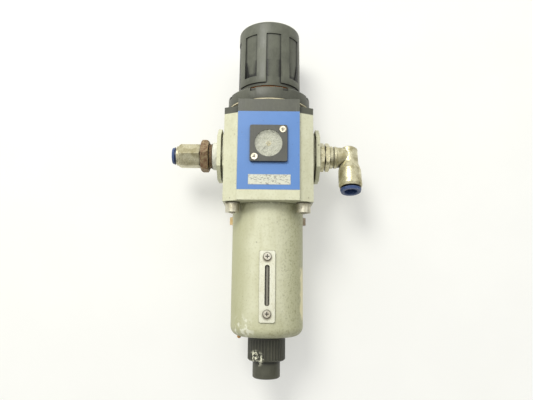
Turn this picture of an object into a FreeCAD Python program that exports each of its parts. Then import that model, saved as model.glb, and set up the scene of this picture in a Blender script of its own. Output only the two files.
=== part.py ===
import FreeCAD, Part
import math
import os
import re
import Sketcher

# Compressed-air filter regulator with a built-in gauge, a metal bowl and push-in tube fittings.
#
# Origin: where the port line (X) crosses the vertical axis (Z). +Z points at the knob, the gauge faces -Y,
# and +X points at the outlet. All sizes are in millimetres.

V = FreeCAD.Vector
doc = FreeCAD.newDocument("filter_regulator")
dims = doc.addObject("Spreadsheet::Sheet", "dims")

sizes = {
    # fits
    "slip": 0.05,              # radial room between pieces that are screwed or pushed together
    "running": 0.08,           # radial room of a moving fit
    "gap": 0.05,               # face to face room between pieces that move
    # casting
    "body_width": 68.4,
    "body_depth": 74.0,
    "body_top": 26.0,          # above the port line
    "body_bottom": 42.0,       # below the port line
    "plateau_half": 23.3,      # half width of the front and rear plateaus
    "corner_start": 23.9,      # where the sloping corner face starts
    "corner_set": 3.4,         # how far its inner edge stands behind the plateau
    "corner_fall": 8.0,        # how far its outer edge stands behind the plateau
    "plate_thick": 0.8,
    "plate_foot": 34.4,        # lower edge of the front plate, below the port line
    # port bosses and bores
    "boss_pad": 1.8,
    "boss_groove": 1.7,
    "boss_flange": 3.0,
    "boss_neck_radius": 15.0,
    "boss_half_height": 21.0,
    "boss_half_depth": 18.0,
    "boss_flat_half": 12.0,
    "boss_tip_half": 7.0,
    "port_thread_radius": 10.48,   # R 1/2 pipe thread
    "port_depth": 15.5,
    "port_bore_radius": 8.0,
    "down_bore_radius": 4.5,
    "down_bore_across": 21.0,
    # gauge
    "gauge_side": 27.8,
    "gauge_proud": 2.5,
    "gauge_up": 0.5,
    "gauge_case": 24.8,
    "gauge_deep": 13.0,
    "gauge_window": 10.35,
    "gauge_room": 11.4,
    "gauge_screw_across": 10.5,
    "gauge_screw_head": 2.45,
    "gauge_port": 3.0,
    "lens_thick": 1.3,
    "dial_back": 2.9,          # dial face, behind the bezel's face
    "pointer_long": 7.6,
    # blank sticker
    "label_long": 31.4,
    "label_high": 7.6,
    "label_thick": 0.15,
    "label_up": 26.8,          # its middle, below the port line
    # long screws through the casting into the bonnet
    "bolt_across": 27.0,
    "bolt_deep": 23.5,
    "bolt_radius": 3.0,
    "bolt_head_radius": 5.3,
    "bolt_head_high": 6.0,
    "bolt_socket": 5.0,
    "bolt_washer_radius": 5.5,
    "bolt_washer_thick": 1.6,
    "bolt_reach": 4.0,         # into the bonnet's plate
    "rear_bolt_slack": 4.0,    # how far the two rear screws are backed out
    # bonnet
    "bonnet_plate": 5.2,
    "bonnet_block": 9.7,       # height of its front and rear blocks
    "bonnet_block_deep": 12.0,
    "neck_radius": 24.0,
    "neck_top": 21.8,          # above the casting
    "tower_radius": 21.0,
    "tower_top": 62.0,         # above the casting
    "spring_room": 16.0,
    "tower_roof": 8.0,
    # panel nut
    "nut_radius": 33.6,
    "nut_high": 9.6,
    "nut_low": 12.2,           # above the casting
    "nut_washer": 0.8,
    "nut_chamfer": 1.0,
    "lock_ring_radius": 22.8,
    "lock_ring_high": 4.8,
    # knob
    "knob_low": 26.2,          # above the casting, knob pulled up
    "knob_high": 55.0,
    "knob_radius": 25.8,
    "knob_top_radius": 25.3,
    "knob_floor": 24.5,        # radius of the recessed panels and of the skirt
    "knob_skirt": 2.4,
    "knob_edge": 3.0,
    "knob_skirt_bore": 23.0,
    "knob_skirt_deep": 6.0,
    "knob_roof": 7.0,
    "knob_hub_radius": 9.5,
    "knob_hub_long": 9.0,
    "panel_angle": 27.0,
    "panel_turn": 8.0,         # first panel, from the front
    "panel_top": 11.0,         # below the knob's top
    "panel_foot": 8.0,         # above the knob's bottom, closed panels
    "panel_notch": 1.4,        # extra depth at the foot of a closed panel
    "panel_notch_high": 14.0,
    # adjusting screw, seat and spring
    "screw_radius": 4.0,
    "screw_hex": 12.0,
    "screw_head_high": 9.0,
    "seat_thick": 5.0,
    "seat_radius": 15.4,
    "spring_long": 31.0,
    "spring_mean": 11.6,
    "spring_wire": 1.7,
    "spring_turns": 6.0,
    # diaphragm
    "recess_radius": 24.0,
    "recess_deep": 8.0,
    "rim_radius": 27.0,
    "diaphragm_thick": 1.5,
    "diaphragm_hole": 4.0,
    "upper_plate_radius": 14.5,
    "upper_plate_thick": 2.5,
    "lower_disc_radius": 12.0,
    "lower_disc_thick": 2.4,
    # valve
    "chamber_radius": 13.0,
    "chamber_low": 1.0,        # below the port line
    "chamber_high": 12.0,
    "valve_bore": 10.0,
    "valve_bore_low": 21.0,    # below the port line
    "guide_bore": 12.0,
    "seat_ring_thick": 3.0,
    "seat_hole": 6.0,
    "poppet_radius": 8.0,
    "poppet_thick": 4.0,
    "pin_radius": 1.8,
    "stem_radius": 3.0,
    "stem_long": 11.0,
    "guide_thick": 3.0,
    "guide_hub_radius": 5.0,
    "guide_hub_high": 9.0,
    "valve_wire": 0.45,
    "valve_spring_mean": 6.2,
    "valve_spring_turns": 5.0,
    # bowl
    "bowl_room": 0.4,          # radial room of the bowl in its bore
    "bowl_bore_deep": 4.0,
    "bowl_ceiling": 27.0,      # below the port line
    "bowl_radius": 28.0,
    "bowl_neck_radius": 27.2,
    "bowl_wall": 3.5,
    "bowl_neck_wall": 2.6,
    "bowl_foot": 142.0,        # below the port line
    "bowl_floor": 4.0,
    "bowl_corner": 8.0,
    "bowl_seal_high": 2.0,
    # sight glass
    "sight_wide": 11.6,
    "sight_top": 78.6,
    "sight_foot": 130.2,
    "sight_flat": 27.3,        # flat on the bowl, from the axis
    "sight_thick": 1.8,
    "sight_slot": 3.6,
    "sight_slot_top": 88.9,
    "sight_slot_foot": 118.6,
    "sight_screw_set": 5.2,
    "sight_screw_head": 2.55,
    "sight_glass_wide": 8.4,
    "sight_glass_thick": 1.4,
    "sight_gasket_thick": 0.5,
    "sight_window": 5.0,
    # filter
    "deflector_radius": 24.4,
    "deflector_thick": 4.2,
    "filter_radius": 16.0,
    "filter_bore": 11.0,
    "filter_long": 44.0,
    "baffle_radius": 20.0,
    "baffle_thick": 2.4,
    "stud_radius": 2.5,
    # drain
    "collar_radius": 14.4,
    "collar_high": 18.0,
    "collar_ribs": 36.0,
    "collar_stud_radius": 8.0,
    "collar_stud_long": 12.0,
    "retainer_hex": 22.0,
    "retainer_thick": 5.0,
    "drain_bore": 6.0,
    "drain_knob_radius": 10.5,
    "drain_knob_high": 12.8,
    "drain_hole": 3.1,
    "drain_pin_radius": 1.8,
    "drain_head_radius": 4.6,
    "drain_open": 1.5,         # the open drain pin stands this far off its seat
    # tube fittings
    "tube_radius": 5.1,        # bore for a 10 mm tube
    "sleeve_wall": 1.1,
    "sleeve_flange": 2.0,
    "sleeve_travel": 1.5,
    "sleeve_long": 8.3,
    "collet_long": 2.2,
    "tube_seal_long": 2.2,
    "socket_radius": 6.9,
    "flow_radius": 4.0,
    # inlet side
    "bushing_hex": 24.0,
    "bushing_hex_long": 6.2,
    "bushing_stand": 7.9,      # bare thread between the flange and the hexagon
    "bushing_thread_pitch": 1.814,
    "bushing_bore": 6.6,
    "tape_long": 4.5,
    "tape_thick": 0.35,
    "connector_hex": 17.6,
    "connector_hex_long": 17.7,
    "connector_neck": 0.6,
    "connector_collar_radius": 8.0,
    "connector_collar": 1.6,
    "inlet_flange_radius": 7.15,
    # outlet side
    "adapter_hex": 21.0,
    "adapter_hex_long": 8.8,
    "adapter_collar_radius": 9.25,
    "adapter_collar": 3.5,
    "spigot_radius": 7.0,
    "spigot_long": 9.0,
    "elbow_radius": 9.0,
    "elbow_run": 25.4,         # from the boss flange to the barrel's axis
    "elbow_top": 8.0,
    "elbow_drop": 27.0,
    "elbow_throat": 7.4,
    "elbow_mouth": 9.45,
    "elbow_tilt": 13.0,
    "outlet_flange_radius": 8.5,
}

for row, (alias, number) in enumerate(sizes.items(), 1):
    dims.set(f"A{row}", alias)
    dims.set(f"B{row}", str(number))
    dims.setAlias(f"B{row}", alias)
doc.recompute()


def bound(text):
    """Writes a formula in size names as an expression on the spreadsheet."""
    return re.sub(r"[a-z]\w*",
        lambda word: "dims." + word.group() if word.group() in sizes else word.group(),
                  str(text))


def value(text):
    return float(dims.evalExpression(bound(text)))


def newBody(label):
    made = doc.addObject("PartDesign::Body", label)
    made.Label = label
    return made


def newSketch(owner, role, name, level="0"):
    """Opens a sketch on one of the body's own origin planes, moved to a level along its normal."""
    made = owner.newObject("Sketcher::SketchObject", name)
    plane = next(item for item in owner.Origin.OriginFeatures if item.Role == role)
    made.AttachmentSupport = [(plane, "")]
    made.MapMode = "FlatFace"
    made.setExpression(".AttachmentOffset.Base.z", bound(level))
    return made


def drawOutline(shape, points):
    """Draws a closed outline whose corners are each held by two dimensions on the sheet."""
    spots = [V(value(across), value(up), 0) for across, up in points]
    count = len(points)
    shape.addGeometry([Part.LineSegment(spots[k], spots[(k + 1) % count]) for k in range(count)], False)
    for k, (across, up) in enumerate(points):
        shape.addConstraint(Sketcher.Constraint("Coincident", k, 2, (k + 1) % count, 1))
        for kind, text, line in (("DistanceX", across, -2), ("DistanceY", up, -1)):
            if text == "0":
                shape.addConstraint(Sketcher.Constraint("PointOnObject", k, 1, line))
                continue
            index = shape.addConstraint(Sketcher.Constraint(kind, -1, 1, k, 1, value(text)))
            shape.setExpression(f"Constraints[{index}]", bound(text))


def turned(label, points, axis="V_Axis"):
    """A turned piece: its half section in X and Z, spun about the vertical or the horizontal axis."""
    owner = newBody(label)
    shape = newSketch(owner, "XZ_Plane", label + "_section")
    drawOutline(shape, points)
    spin = owner.newObject("PartDesign::Revolution", label + "_turn")
    spin.Profile = shape
    spin.ReferenceAxis = (shape, [axis])
    spin.Angle = 360
    return owner


def tube(label, inner, outer, low, high, axis="V_Axis"):
    """A plain ring between two radii and two levels."""
    if axis == "V_Axis":
        return turned(label, [(inner, low), (outer, low), (outer, high), (inner, high)])
    return turned(label, [(low, inner), (high, inner), (high, outer), (low, outer)], axis)


def prism(label, points, low, high, role="XY_Plane"):
    """A pad of an outline between two levels along the plane's normal."""
    owner = newBody(label)
    shape = newSketch(owner, role, label + "_outline", low)
    drawOutline(shape, points)
    pad = owner.newObject("PartDesign::Pad", label + "_pad")
    pad.Profile = shape
    pad.setExpression("Length", bound(f"({high}) - ({low})"))
    return owner


turns = {"Z": FreeCAD.Rotation(), "X": FreeCAD.Rotation(V(0, 1, 0), 90),
    "Y": FreeCAD.Rotation(V(1, 0, 0), -90)}


def seat(item, axis, low, at):
    """Stands a primitive at a level along an axis, with its other two coordinates in X, Y, Z order."""
    item.Placement = FreeCAD.Placement(V(), turns[axis])
    spot = list(at)
    spot.insert("XYZ".index(axis), low)
    for letter, text in zip("xyz", spot):
        item.setExpression(f".Placement.Base.{letter}", bound(text))
    return item


def cylinder(label, radius, low, high, axis="Z", at=("0", "0")):
    made = doc.addObject("Part::Cylinder", label)
    made.setExpression("Radius", bound(radius))
    made.setExpression("Height", bound(f"({high}) - ({low})"))
    return seat(made, axis, low, at)


def hexagon(label, flats, low, high, axis="Z", at=("0", "0"), turn=0):
    """A hexagonal bar, flats across as given, turned about its own axis."""
    made = doc.addObject("Part::Prism", label)
    made.Polygon = 6
    made.setExpression("Circumradius", bound(f"({flats}) / sqrt(3)"))
    made.setExpression("Height", bound(f"({high}) - ({low})"))
    seat(made, axis, low, at)
    made.Placement = FreeCAD.Placement(V(), turns[axis] * FreeCAD.Rotation(V(0, 0, 1), turn))
    return made


def block(label, xs, ys, zs):
    made = doc.addObject("Part::Box", label)
    for side, letter, (low, high) in zip(("Length", "Width", "Height"), "xyz", (xs, ys, zs)):
        made.setExpression(side, bound(f"({high}) - ({low})"))
        made.setExpression(f".Placement.Base.{letter}", bound(low))
    return made


def joined(label, items):
    made = doc.addObject("Part::MultiFuse", label)
    made.Shapes = items
    return made


def cut(label, base, tools):
    made = doc.addObject("Part::Cut", label)
    made.Base = base
    made.Tool = tools[0] if len(tools) == 1 else joined(label + "_tools", tools)
    return made


def group(label, items):
    """Keeps repeated pieces as separate solids under one name."""
    made = doc.addObject("Part::Compound", label)
    made.Links = items
    return made


def spring(label, mean, wire, low, high, coils):
    """A coil spring between two end levels, with its wire wholly between them."""
    owner = newBody(label)
    shape = newSketch(owner, "XZ_Plane", label + "_wire")
    shape.addGeometry(Part.Circle(V(value(mean), value(f"({low}) + ({wire})"), 0), V(0, 0, 1),
        value(wire)), False)
    for kind, spot, text in (("DistanceX", 3, mean), ("DistanceY", 3, f"({low}) + ({wire})")):
        index = shape.addConstraint(Sketcher.Constraint(kind, -1, 1, 0, spot, value(text)))
        shape.setExpression(f"Constraints[{index}]", bound(text))
    index = shape.addConstraint(Sketcher.Constraint("Radius", 0, value(wire)))
    shape.setExpression(f"Constraints[{index}]", bound(wire))
    coil = owner.newObject("PartDesign::AdditiveHelix", label + "_coil")
    coil.Profile = shape
    coil.ReferenceAxis = (shape, ["V_Axis"])
    coil.Mode = 2                                   # height and turns set the pitch
    coil.setExpression("Height", bound(f"({high}) - ({low}) - 2 * ({wire})"))
    coil.setExpression("Turns", bound(coils))
    return owner


pieces = {}


def keep(item):
    """Marks an object as a finished piece; its label is the piece's name."""
    pieces[item.Label] = item
    return item


# ---- body casting: a mirrored outline with sloping corners, two port bosses and the inner passages

halfWidth = "body_width / 2"
halfDepth = "body_depth / 2"
quarter = [("plateau_half", halfDepth), ("corner_start", f"{halfDepth} - corner_set"),
           (halfWidth, f"{halfDepth} - corner_fall")]


def minus(text):
    return "0" if text == "0" else f"-({text})"


def mirrored(points):
    """Repeats a quarter outline, front right to right side, into a whole one about both axes."""
    right = [(a, minus(b)) for a, b in points] + [(a, b) for a, b in reversed(points)]
    return right + [(minus(a), b) for a, b in points] + [(minus(a), minus(b)) for a, b in reversed(points)]


casting = prism("casting_block", mirrored(quarter), "-body_bottom", "body_top")
bossOutline = mirrored([("boss_tip_half", "boss_half_height"), ("boss_half_depth", "boss_flat_half")])
padEnd = f"{halfWidth} + boss_pad"
grooveEnd = f"{padEnd} + boss_groove"
flangeEnd = f"{grooveEnd} + boss_flange"
portBottom = f"{flangeEnd} - port_depth"
added = [casting]
drilled = []
for side, sign in (("inlet", "-"), ("outlet", "")):
    for part, low, high in (("pad", f"{halfWidth} - 3", padEnd), ("flange", grooveEnd, flangeEnd)):
        ends = (low, high) if sign == "" else (f"-({high})", f"-({low})")
        added.append(prism(f"{side}_{part}", bossOutline, ends[0], ends[1], "YZ_Plane"))
    ends = [f"{halfWidth} - 3", flangeEnd, portBottom]
    neck, face, deep = ends if sign == "" else [f"-({text})" for text in ends]
    added.append(cylinder(f"{side}_neck", "boss_neck_radius", *sorted((neck, face), key=value), "X"))
    drilled.append(cylinder(f"{side}_thread", "port_thread_radius + slip",
        *sorted((deep, face), key=value), "X"))
solid = joined("casting_solid", added)

drilled += [
    cylinder("inlet_bore", "port_bore_radius", f"-({portBottom})",
    "-(down_bore_across - down_bore_radius + 0.5)", "X"),
    cylinder("inlet_drop", "down_bore_radius", "-bowl_ceiling", "0", "Z", ("-down_bore_across", "0")),
    cylinder("outlet_bore", "port_bore_radius", "valve_bore + 1.5", portBottom, "X"),
    cylinder("outlet_chamber", "chamber_radius", "-chamber_low", "chamber_high"),
    cylinder("valve_room", "valve_bore", "-valve_bore_low", "-chamber_low"),
    cylinder("guide_room", "guide_bore", "-bowl_ceiling", "-valve_bore_low"),
    cylinder("bowl_thread", "bowl_neck_radius", "-body_bottom", "-bowl_ceiling"),
    cylinder("bowl_mouth", "(bowl_radius + bowl_room)", "-body_bottom", "-body_bottom + bowl_bore_deep"),
    cylinder("pin_guide", "pin_radius + running", "chamber_high", "body_top - recess_deep"),
    cylinder("sensing_hole", "1.2", "chamber_high", "body_top - recess_deep", "Z",
    ("chamber_radius - 4", "0")),
    cylinder("diaphragm_recess", "recess_radius", "body_top - recess_deep", "body_top"),
    cylinder("diaphragm_rim", "rim_radius", "body_top - diaphragm_thick", "body_top"),
]
plateBack = f"({halfDepth} - plate_thick)"
for side, sign in (("front", "-"), ("rear", "")):
    ys = (f"-{halfDepth}", f"-{plateBack}") if sign else (plateBack, halfDepth)
    drilled.append(block(f"{side}_plate_seat", ("-plateau_half - 1", "plateau_half + 1"), ys,
                         ("-plate_foot", "body_top")))
caseHalf = "gauge_case / 2"
gaugeRoom = f"({halfDepth} - gauge_deep - 1)"
drilled += [
    block("gauge_room", (f"-{caseHalf} - slip", f"{caseHalf} + slip"), (f"-{halfDepth}", f"-{gaugeRoom}"),
          (f"gauge_up - {caseHalf} - slip", f"gauge_up + {caseHalf} + slip")),
    cylinder("gauge_feed", "gauge_port", f"-{gaugeRoom}", "-(valve_bore + 1.2)", "Y", ("0", "gauge_up")),
    cylinder("rear_feed", "gauge_port", "valve_bore + 1.2", plateBack, "Y", ("0", "gauge_up")),
    cylinder("rear_plug_seat", "gauge_port + 3", f"{plateBack} - 3", plateBack, "Y", ("0", "gauge_up")),
]
gaugeScrews = [("gauge_screw_across", "gauge_up + gauge_screw_across"),
               ("-gauge_screw_across", "gauge_up - gauge_screw_across")]
rearScrews = [("gauge_screw_across + 3", "gauge_up"), ("-gauge_screw_across - 3", "gauge_up")]
for k, at in enumerate(rearScrews):
    drilled.append(cylinder(f"rear_screw_hole{k}", "1.2", f"{plateBack} - 6", plateBack, "Y", at))
corners = [(f"{a}bolt_across", f"{b}bolt_deep") for a in ("", "-") for b in ("", "-")]
for k, at in enumerate(corners):
    drilled.append(cylinder(f"bolt_hole{k}", "bolt_radius + 0.3", "-body_bottom", "body_top", "Z", at))
keep(cut("body_casting", solid, drilled))

# ---- front plate, sticker and rear plate

plateTop = "body_top - slip"
frontPlate = block("front_sheet", ("-plateau_half", "plateau_half"), (f"-{halfDepth}", f"-{plateBack}"),
                   ("-plate_foot + slip", plateTop))
frontWindow = block("front_window", (f"-{caseHalf} - slip", f"{caseHalf} + slip"),
    (f"-{halfDepth} - 1", f"-{plateBack} + 1"),
                    (f"gauge_up - {caseHalf} - slip", f"gauge_up + {caseHalf} + slip"))
keep(cut("front_plate", frontPlate, [frontWindow]))
keep(block("data_label", ("0.8 - label_long / 2", "0.8 + label_long / 2"),
           (f"-{halfDepth} - label_thick", f"-{halfDepth}"),
           ("-label_up - label_high / 2", "-label_up + label_high / 2")))

rearSheet = block("rear_sheet", ("-plateau_half", "plateau_half"), (plateBack, halfDepth),
                  ("-plate_foot + slip", plateTop))
keep(cut("rear_plate", rearSheet, [cylinder(f"rear_plate_hole{k}", "1.3", f"{plateBack} - 1",
    f"{halfDepth} + 1",
                                            "Y", at) for k, at in enumerate(rearScrews)]))
rearSeal = cylinder("rear_plug", "gauge_port + 3 - slip", f"{plateBack} - 3", plateBack, "Y",
    ("0", "gauge_up"))
rearDimple = cylinder("rear_dimple", "gauge_port", f"{plateBack} - 3", f"{plateBack} - 1.5", "Y",
                      ("0", "gauge_up"))
keep(cut("rear_plate_seal", rearSeal, [rearDimple]))


def crossScrew(name, head, shank, faceAt, tip, at, high=0.9):
    """A small cross-slotted screw looking along -Y or +Y: head on a face, shank down to its tip."""
    outward = value(faceAt) > value(tip)
    step = high if outward else -high
    ends = sorted((faceAt, f"({faceAt}) + {step}"), key=value)
    headDisc = cylinder(name + "_head", head, *ends, "Y", at)
    shankBar = cylinder(name + "_shank", shank, *sorted((faceAt, tip), key=value), "Y", at)
    top = f"({faceAt}) + {step}"
    floor = f"({faceAt}) + {step * 0.35}"
    ys = sorted((top, floor), key=value)
    slots = []
    for k, (a, b) in enumerate((("0.62", "0.14"), ("0.14", "0.62"))):
        slots.append(block(f"{name}_slot{k}", (f"({at[0]}) - {a} * ({head})",
            f"({at[0]}) + {a} * ({head})"), ys,
                           (f"({at[1]}) - {b} * ({head})", f"({at[1]}) + {b} * ({head})")))
    return cut(name, joined(name + "_blank", [headDisc, shankBar]), slots)


keep(group("rear_plate_screws", [crossScrew(f"rear_screw{k}", "2.3", "1.15", halfDepth,
    f"{plateBack} - 5", at)
                                 for k, at in enumerate(rearScrews)]))

# ---- gauge

bezelFace = f"({halfDepth} + gauge_proud)"
gaugeHalf = "gauge_side / 2"
flangeBlock = block("gauge_flange", (f"-{gaugeHalf}", gaugeHalf), (f"-{bezelFace}", f"-{halfDepth}"),
                    (f"gauge_up - {gaugeHalf}", f"gauge_up + {gaugeHalf}"))
rounded = doc.addObject("Part::Fillet", "gauge_flange_rounded")
rounded.Base = flangeBlock
doc.recompute()
uprights = [k for k, edge in enumerate(flangeBlock.Shape.Edges, 1)
            if abs(edge.Vertexes[0].Point.y - edge.Vertexes[1].Point.y) > 0.1]
rounded.Edges = [(k, 1.2, 1.2) for k in uprights]
caseBlock = block("gauge_case_block", (f"-{caseHalf}", caseHalf),
    (f"-{halfDepth}", f"-{halfDepth} + gauge_deep"),
                  (f"gauge_up - {caseHalf}", f"gauge_up + {caseHalf}"))
centre = ("0", "gauge_up")
lensBack = f"({bezelFace} - 0.4 - lens_thick)"
caseBack = f"({halfDepth} - gauge_deep)"
bezelCuts = [
    cylinder("gauge_window_cut", "gauge_window", f"-{bezelFace}", f"-{lensBack}", "Y", centre),
    cylinder("gauge_room_cut", "gauge_room", f"-{lensBack}", f"-{caseBack} - 1.5", "Y", centre),
    cylinder("gauge_port_cut", "gauge_port", f"-{caseBack} - 1.5", f"-{caseBack}", "Y", centre),
]
for k, at in enumerate(gaugeScrews):
    bezelCuts.append(cylinder(f"gauge_counterbore{k}", "gauge_screw_head + 0.15", f"-{bezelFace}",
                              f"-{bezelFace} + 0.8", "Y", at))
    bezelCuts.append(cylinder(f"gauge_screw_way{k}", "0.95", f"-{bezelFace}", f"-{caseBack}", "Y", at))
keep(cut("gauge_bezel", joined("gauge_body", [rounded, caseBlock]), bezelCuts))
lensDisc = cylinder("lens_disc", "gauge_window - slip", f"-{bezelFace} + 0.4", f"-{lensBack}", "Y", centre)
lensRim = cylinder("lens_rim", "gauge_room - slip", f"-{lensBack}", f"-{lensBack} + 0.5", "Y", centre)
keep(joined("gauge_lens", [lensDisc, lensRim]))
dialFace = f"({bezelFace} - dial_back)"
dialDisc = cylinder("dial_disc", "gauge_room - slip", f"-{dialFace}", f"-{dialFace} + 0.4", "Y", centre)
keep(cut("gauge_dial", dialDisc, [cylinder("dial_hole", "0.9", f"-{dialFace} - 1", f"-{dialFace} + 1",
    "Y", centre)]))
spindleTip = f"-{dialFace} - 0.2"
capsule = cylinder("gauge_capsule", "gauge_room - 0.4", f"-{dialFace} + 0.45", f"-{caseBack} - 1.55", "Y",
    centre)
spindle = cylinder("gauge_spindle", "0.4", spindleTip, f"-{dialFace} + 0.45", "Y", centre)
keep(joined("gauge_movement", [capsule, spindle]))
pointerBar = block("pointer_bar", ("-0.35", "0.35"), (f"-{dialFace} - 0.55", f"-{dialFace} - 0.25"),
                   ("gauge_up - 2.6", "gauge_up + pointer_long"))
pointerHub = cylinder("pointer_hub", "1.9", f"-{dialFace} - 0.7", f"-{dialFace} - 0.2", "Y", centre)
pointerBlank = joined("pointer_blank", [pointerBar, pointerHub])
pointerUp = cut("pointer_upright", pointerBlank,
                [cylinder("pointer_eye", "0.45", f"-{dialFace} - 0.5", f"-{dialFace} - 0.1", "Y", centre)])
pointer = doc.addObject("Part::Compound", "gauge_pointer")
pointer.Links = [pointerUp]
# the needle rests on its zero, 135 degrees anticlockwise of upright as seen from the front
needleTurn = FreeCAD.Rotation(V(0, 1, 0), -135)
pivot = V(0, 0, value("gauge_up"))
pointer.Placement = FreeCAD.Placement(pivot - needleTurn.multVec(pivot), needleTurn)
keep(pointer)
keep(group("gauge_screws", [crossScrew(f"gauge_screw{k}", "gauge_screw_head", "0.9", f"-{bezelFace} + 0.8",
                                       f"-{caseBack} - 1", at, 1.2) for k, at in enumerate(gaugeScrews)]))
gaugeSeal = cylinder("gauge_seal_disc", "gauge_port + 2.5", f"-{caseBack} + 0.02", f"-{gaugeRoom}", "Y",
    centre)
keep(cut("gauge_seal", gaugeSeal, [cylinder("gauge_seal_hole", "gauge_port", f"-{caseBack}",
    f"-{gaugeRoom} + 1",
                                            "Y", centre)]))

# ---- long bolts from below

washerFoot = "-body_bottom - bolt_washer_thick"
boltTop = "body_top + bolt_reach"


def longBolt(name, at):
    """A socket screw; the rear ones are backed out a little."""
    slack = "rear_bolt_slack" if value(at[1]) > 0 else "0"
    under = f"{washerFoot} - {slack}"
    head = cylinder(name + "_head", "bolt_head_radius", f"{under} - bolt_head_high", under, "Z", at)
    shank = cylinder(name + "_shank", "bolt_radius", under, f"{boltTop} - {slack}", "Z", at)
    socket = hexagon(name + "_socket", "bolt_socket", f"{under} - bolt_head_high",
        f"{under} - bolt_head_high / 2.2",
                     "Z", at)
    return cut(name, joined(name + "_blank", [head, shank]), [socket])


def springWasher(name, at):
    disc = cylinder(name + "_disc", "bolt_washer_radius", washerFoot, "-body_bottom", "Z", at)
    hole = cylinder(name + "_hole", "bolt_radius + 0.1", washerFoot, "-body_bottom", "Z", at)
    split = block(name + "_split", (f"({at[0]}) - 0.5", f"({at[0]}) + 0.5"),
        (f"({at[1]})", f"({at[1]}) + 7"),
                  (washerFoot, "-body_bottom"))
    return cut(name, disc, [hole, split])


keep(group("body_bolts", [longBolt(f"long_bolt{k}", at) for k, at in enumerate(corners)]))
keep(group("bolt_washers", [springWasher(f"spring_washer{k}", at) for k, at in enumerate(corners)]))

# ---- bonnet, panel nut and lock ring

plateTopLevel = "(body_top + bonnet_plate)"
blockTop = "(body_top + bonnet_block)"
neckTop = "(body_top + neck_top)"
towerTop = "(body_top + tower_top)"
bonnetPlate = prism("bonnet_plate_pad", mirrored(quarter), "body_top", plateTopLevel)
blocks = [block(f"bonnet_{name}_block", ("-plateau_half", "plateau_half"), ys, ("body_top", blockTop))
          for name, ys in (("front", (f"-{halfDepth}", f"-{halfDepth} + bonnet_block_deep")),
                           ("rear", (f"{halfDepth} - bonnet_block_deep", halfDepth)))]
neck = cylinder("bonnet_neck", "neck_radius", "body_top", neckTop)
tower = turned("bonnet_tower", [("0", "body_top"), ("tower_radius", "body_top"),
                                ("tower_radius", f"{towerTop} - 2"), ("tower_radius - 2", towerTop),
                                ("0", towerTop)])
bonnetCuts = [cylinder("spring_room_cut", "spring_room", "body_top", f"{towerTop} - tower_roof"),
              cylinder("screw_way", "screw_radius + running", f"{towerTop} - tower_roof", towerTop)]
bonnetCuts += [cylinder(f"bonnet_bolt_hole{k}", "bolt_radius + slip", "body_top", f"{boltTop} + 0.2", "Z",
    at)
               for k, at in enumerate(corners)]
keep(cut("bonnet", joined("bonnet_solid", [bonnetPlate, *blocks, neck, tower]), bonnetCuts))

nutFoot = "(body_top + nut_low)"
nutTop = f"({nutFoot} + nut_high)"
keep(tube("panel_nut_washer", "neck_radius + slip", "nut_radius - 0.3", f"{nutFoot} - nut_washer", nutFoot))
nutBlank = turned("nut_blank", [("neck_radius + slip", nutFoot), ("nut_radius", nutFoot),
                                ("nut_radius", f"{nutTop} - nut_chamfer"),
                                ("nut_radius - nut_chamfer", nutTop),
                                ("neck_radius + slip", nutTop)])
notches = []
for k in range(8):
    notch = block(f"nut_notch{k}", ("nut_radius - 2", "nut_radius + 2"), ("-2.2", "2.2"),
        (f"{nutTop} - 3", nutTop))
    spun = doc.addObject("Part::Compound", f"nut_notch_turned{k}")
    spun.Links = [notch]
    spun.Placement = FreeCAD.Placement(V(), FreeCAD.Rotation(V(0, 0, 1), 22.5 + 45 * k))
    notches.append(spun)
keep(cut("panel_nut", nutBlank, notches))
keep(tube("lock_ring", "tower_radius + slip", "lock_ring_radius", f"{neckTop} + gap",
          f"{neckTop} + lock_ring_high"))

# ---- knob with eight recessed panels, every second one closed at its foot

knobFoot = "(body_top + knob_low)"
knobTop = f"({knobFoot} + knob_high)"
skirtTop = f"({knobFoot} + knob_skirt)"
socketRoof = f"({knobTop} - knob_roof)"
hubFoot = f"({socketRoof} - knob_hub_long)"
knobBlank = turned("knob_blank", [
    ("knob_skirt_bore", knobFoot), ("knob_floor", knobFoot), ("knob_floor", skirtTop),
    ("knob_radius", skirtTop),
    ("knob_top_radius", knobTop), ("0", knobTop), ("0", hubFoot), ("knob_hub_radius", hubFoot),
    ("knob_hub_radius", socketRoof), ("tower_radius + 0.2", socketRoof),
    ("tower_radius + 0.2", f"{knobFoot} + knob_skirt_deep"),
    ("knob_skirt_bore", f"{knobFoot} + knob_skirt_deep")])
doc.recompute()
rim = [f"Edge{k}" for k, edge in enumerate(knobBlank.Shape.Edges, 1)
       if all(abs(spot.Point.z - value(knobTop)) < 0.01 for spot in edge.Vertexes)
       and abs(edge.BoundBox.XMax - value("knob_top_radius")) < 0.01]
spun = knobBlank.Tip
edgeRound = knobBlank.newObject("PartDesign::Fillet", "knob_edge_round")
edgeRound.Base = (spun, rim)
edgeRound.setExpression("Radius", bound("knob_edge"))


def sector(name, radius, low, high, middle):
    """A pie slice as wide as a knob panel, centred on an angle from the front."""
    made = doc.addObject("Part::Cylinder", name)
    made.setExpression("Radius", bound(radius))
    made.setExpression("Height", bound(f"({high}) - ({low})"))
    made.setExpression("Angle", bound("panel_angle"))
    made.Placement = FreeCAD.Placement(V(), FreeCAD.Rotation(V(0, 0, 1), 1))
    made.setExpression(".Placement.Rotation.Angle", bound(f"({middle}) - 90 - panel_angle / 2"))
    made.setExpression(".Placement.Base.z", bound(low))
    return made


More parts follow.
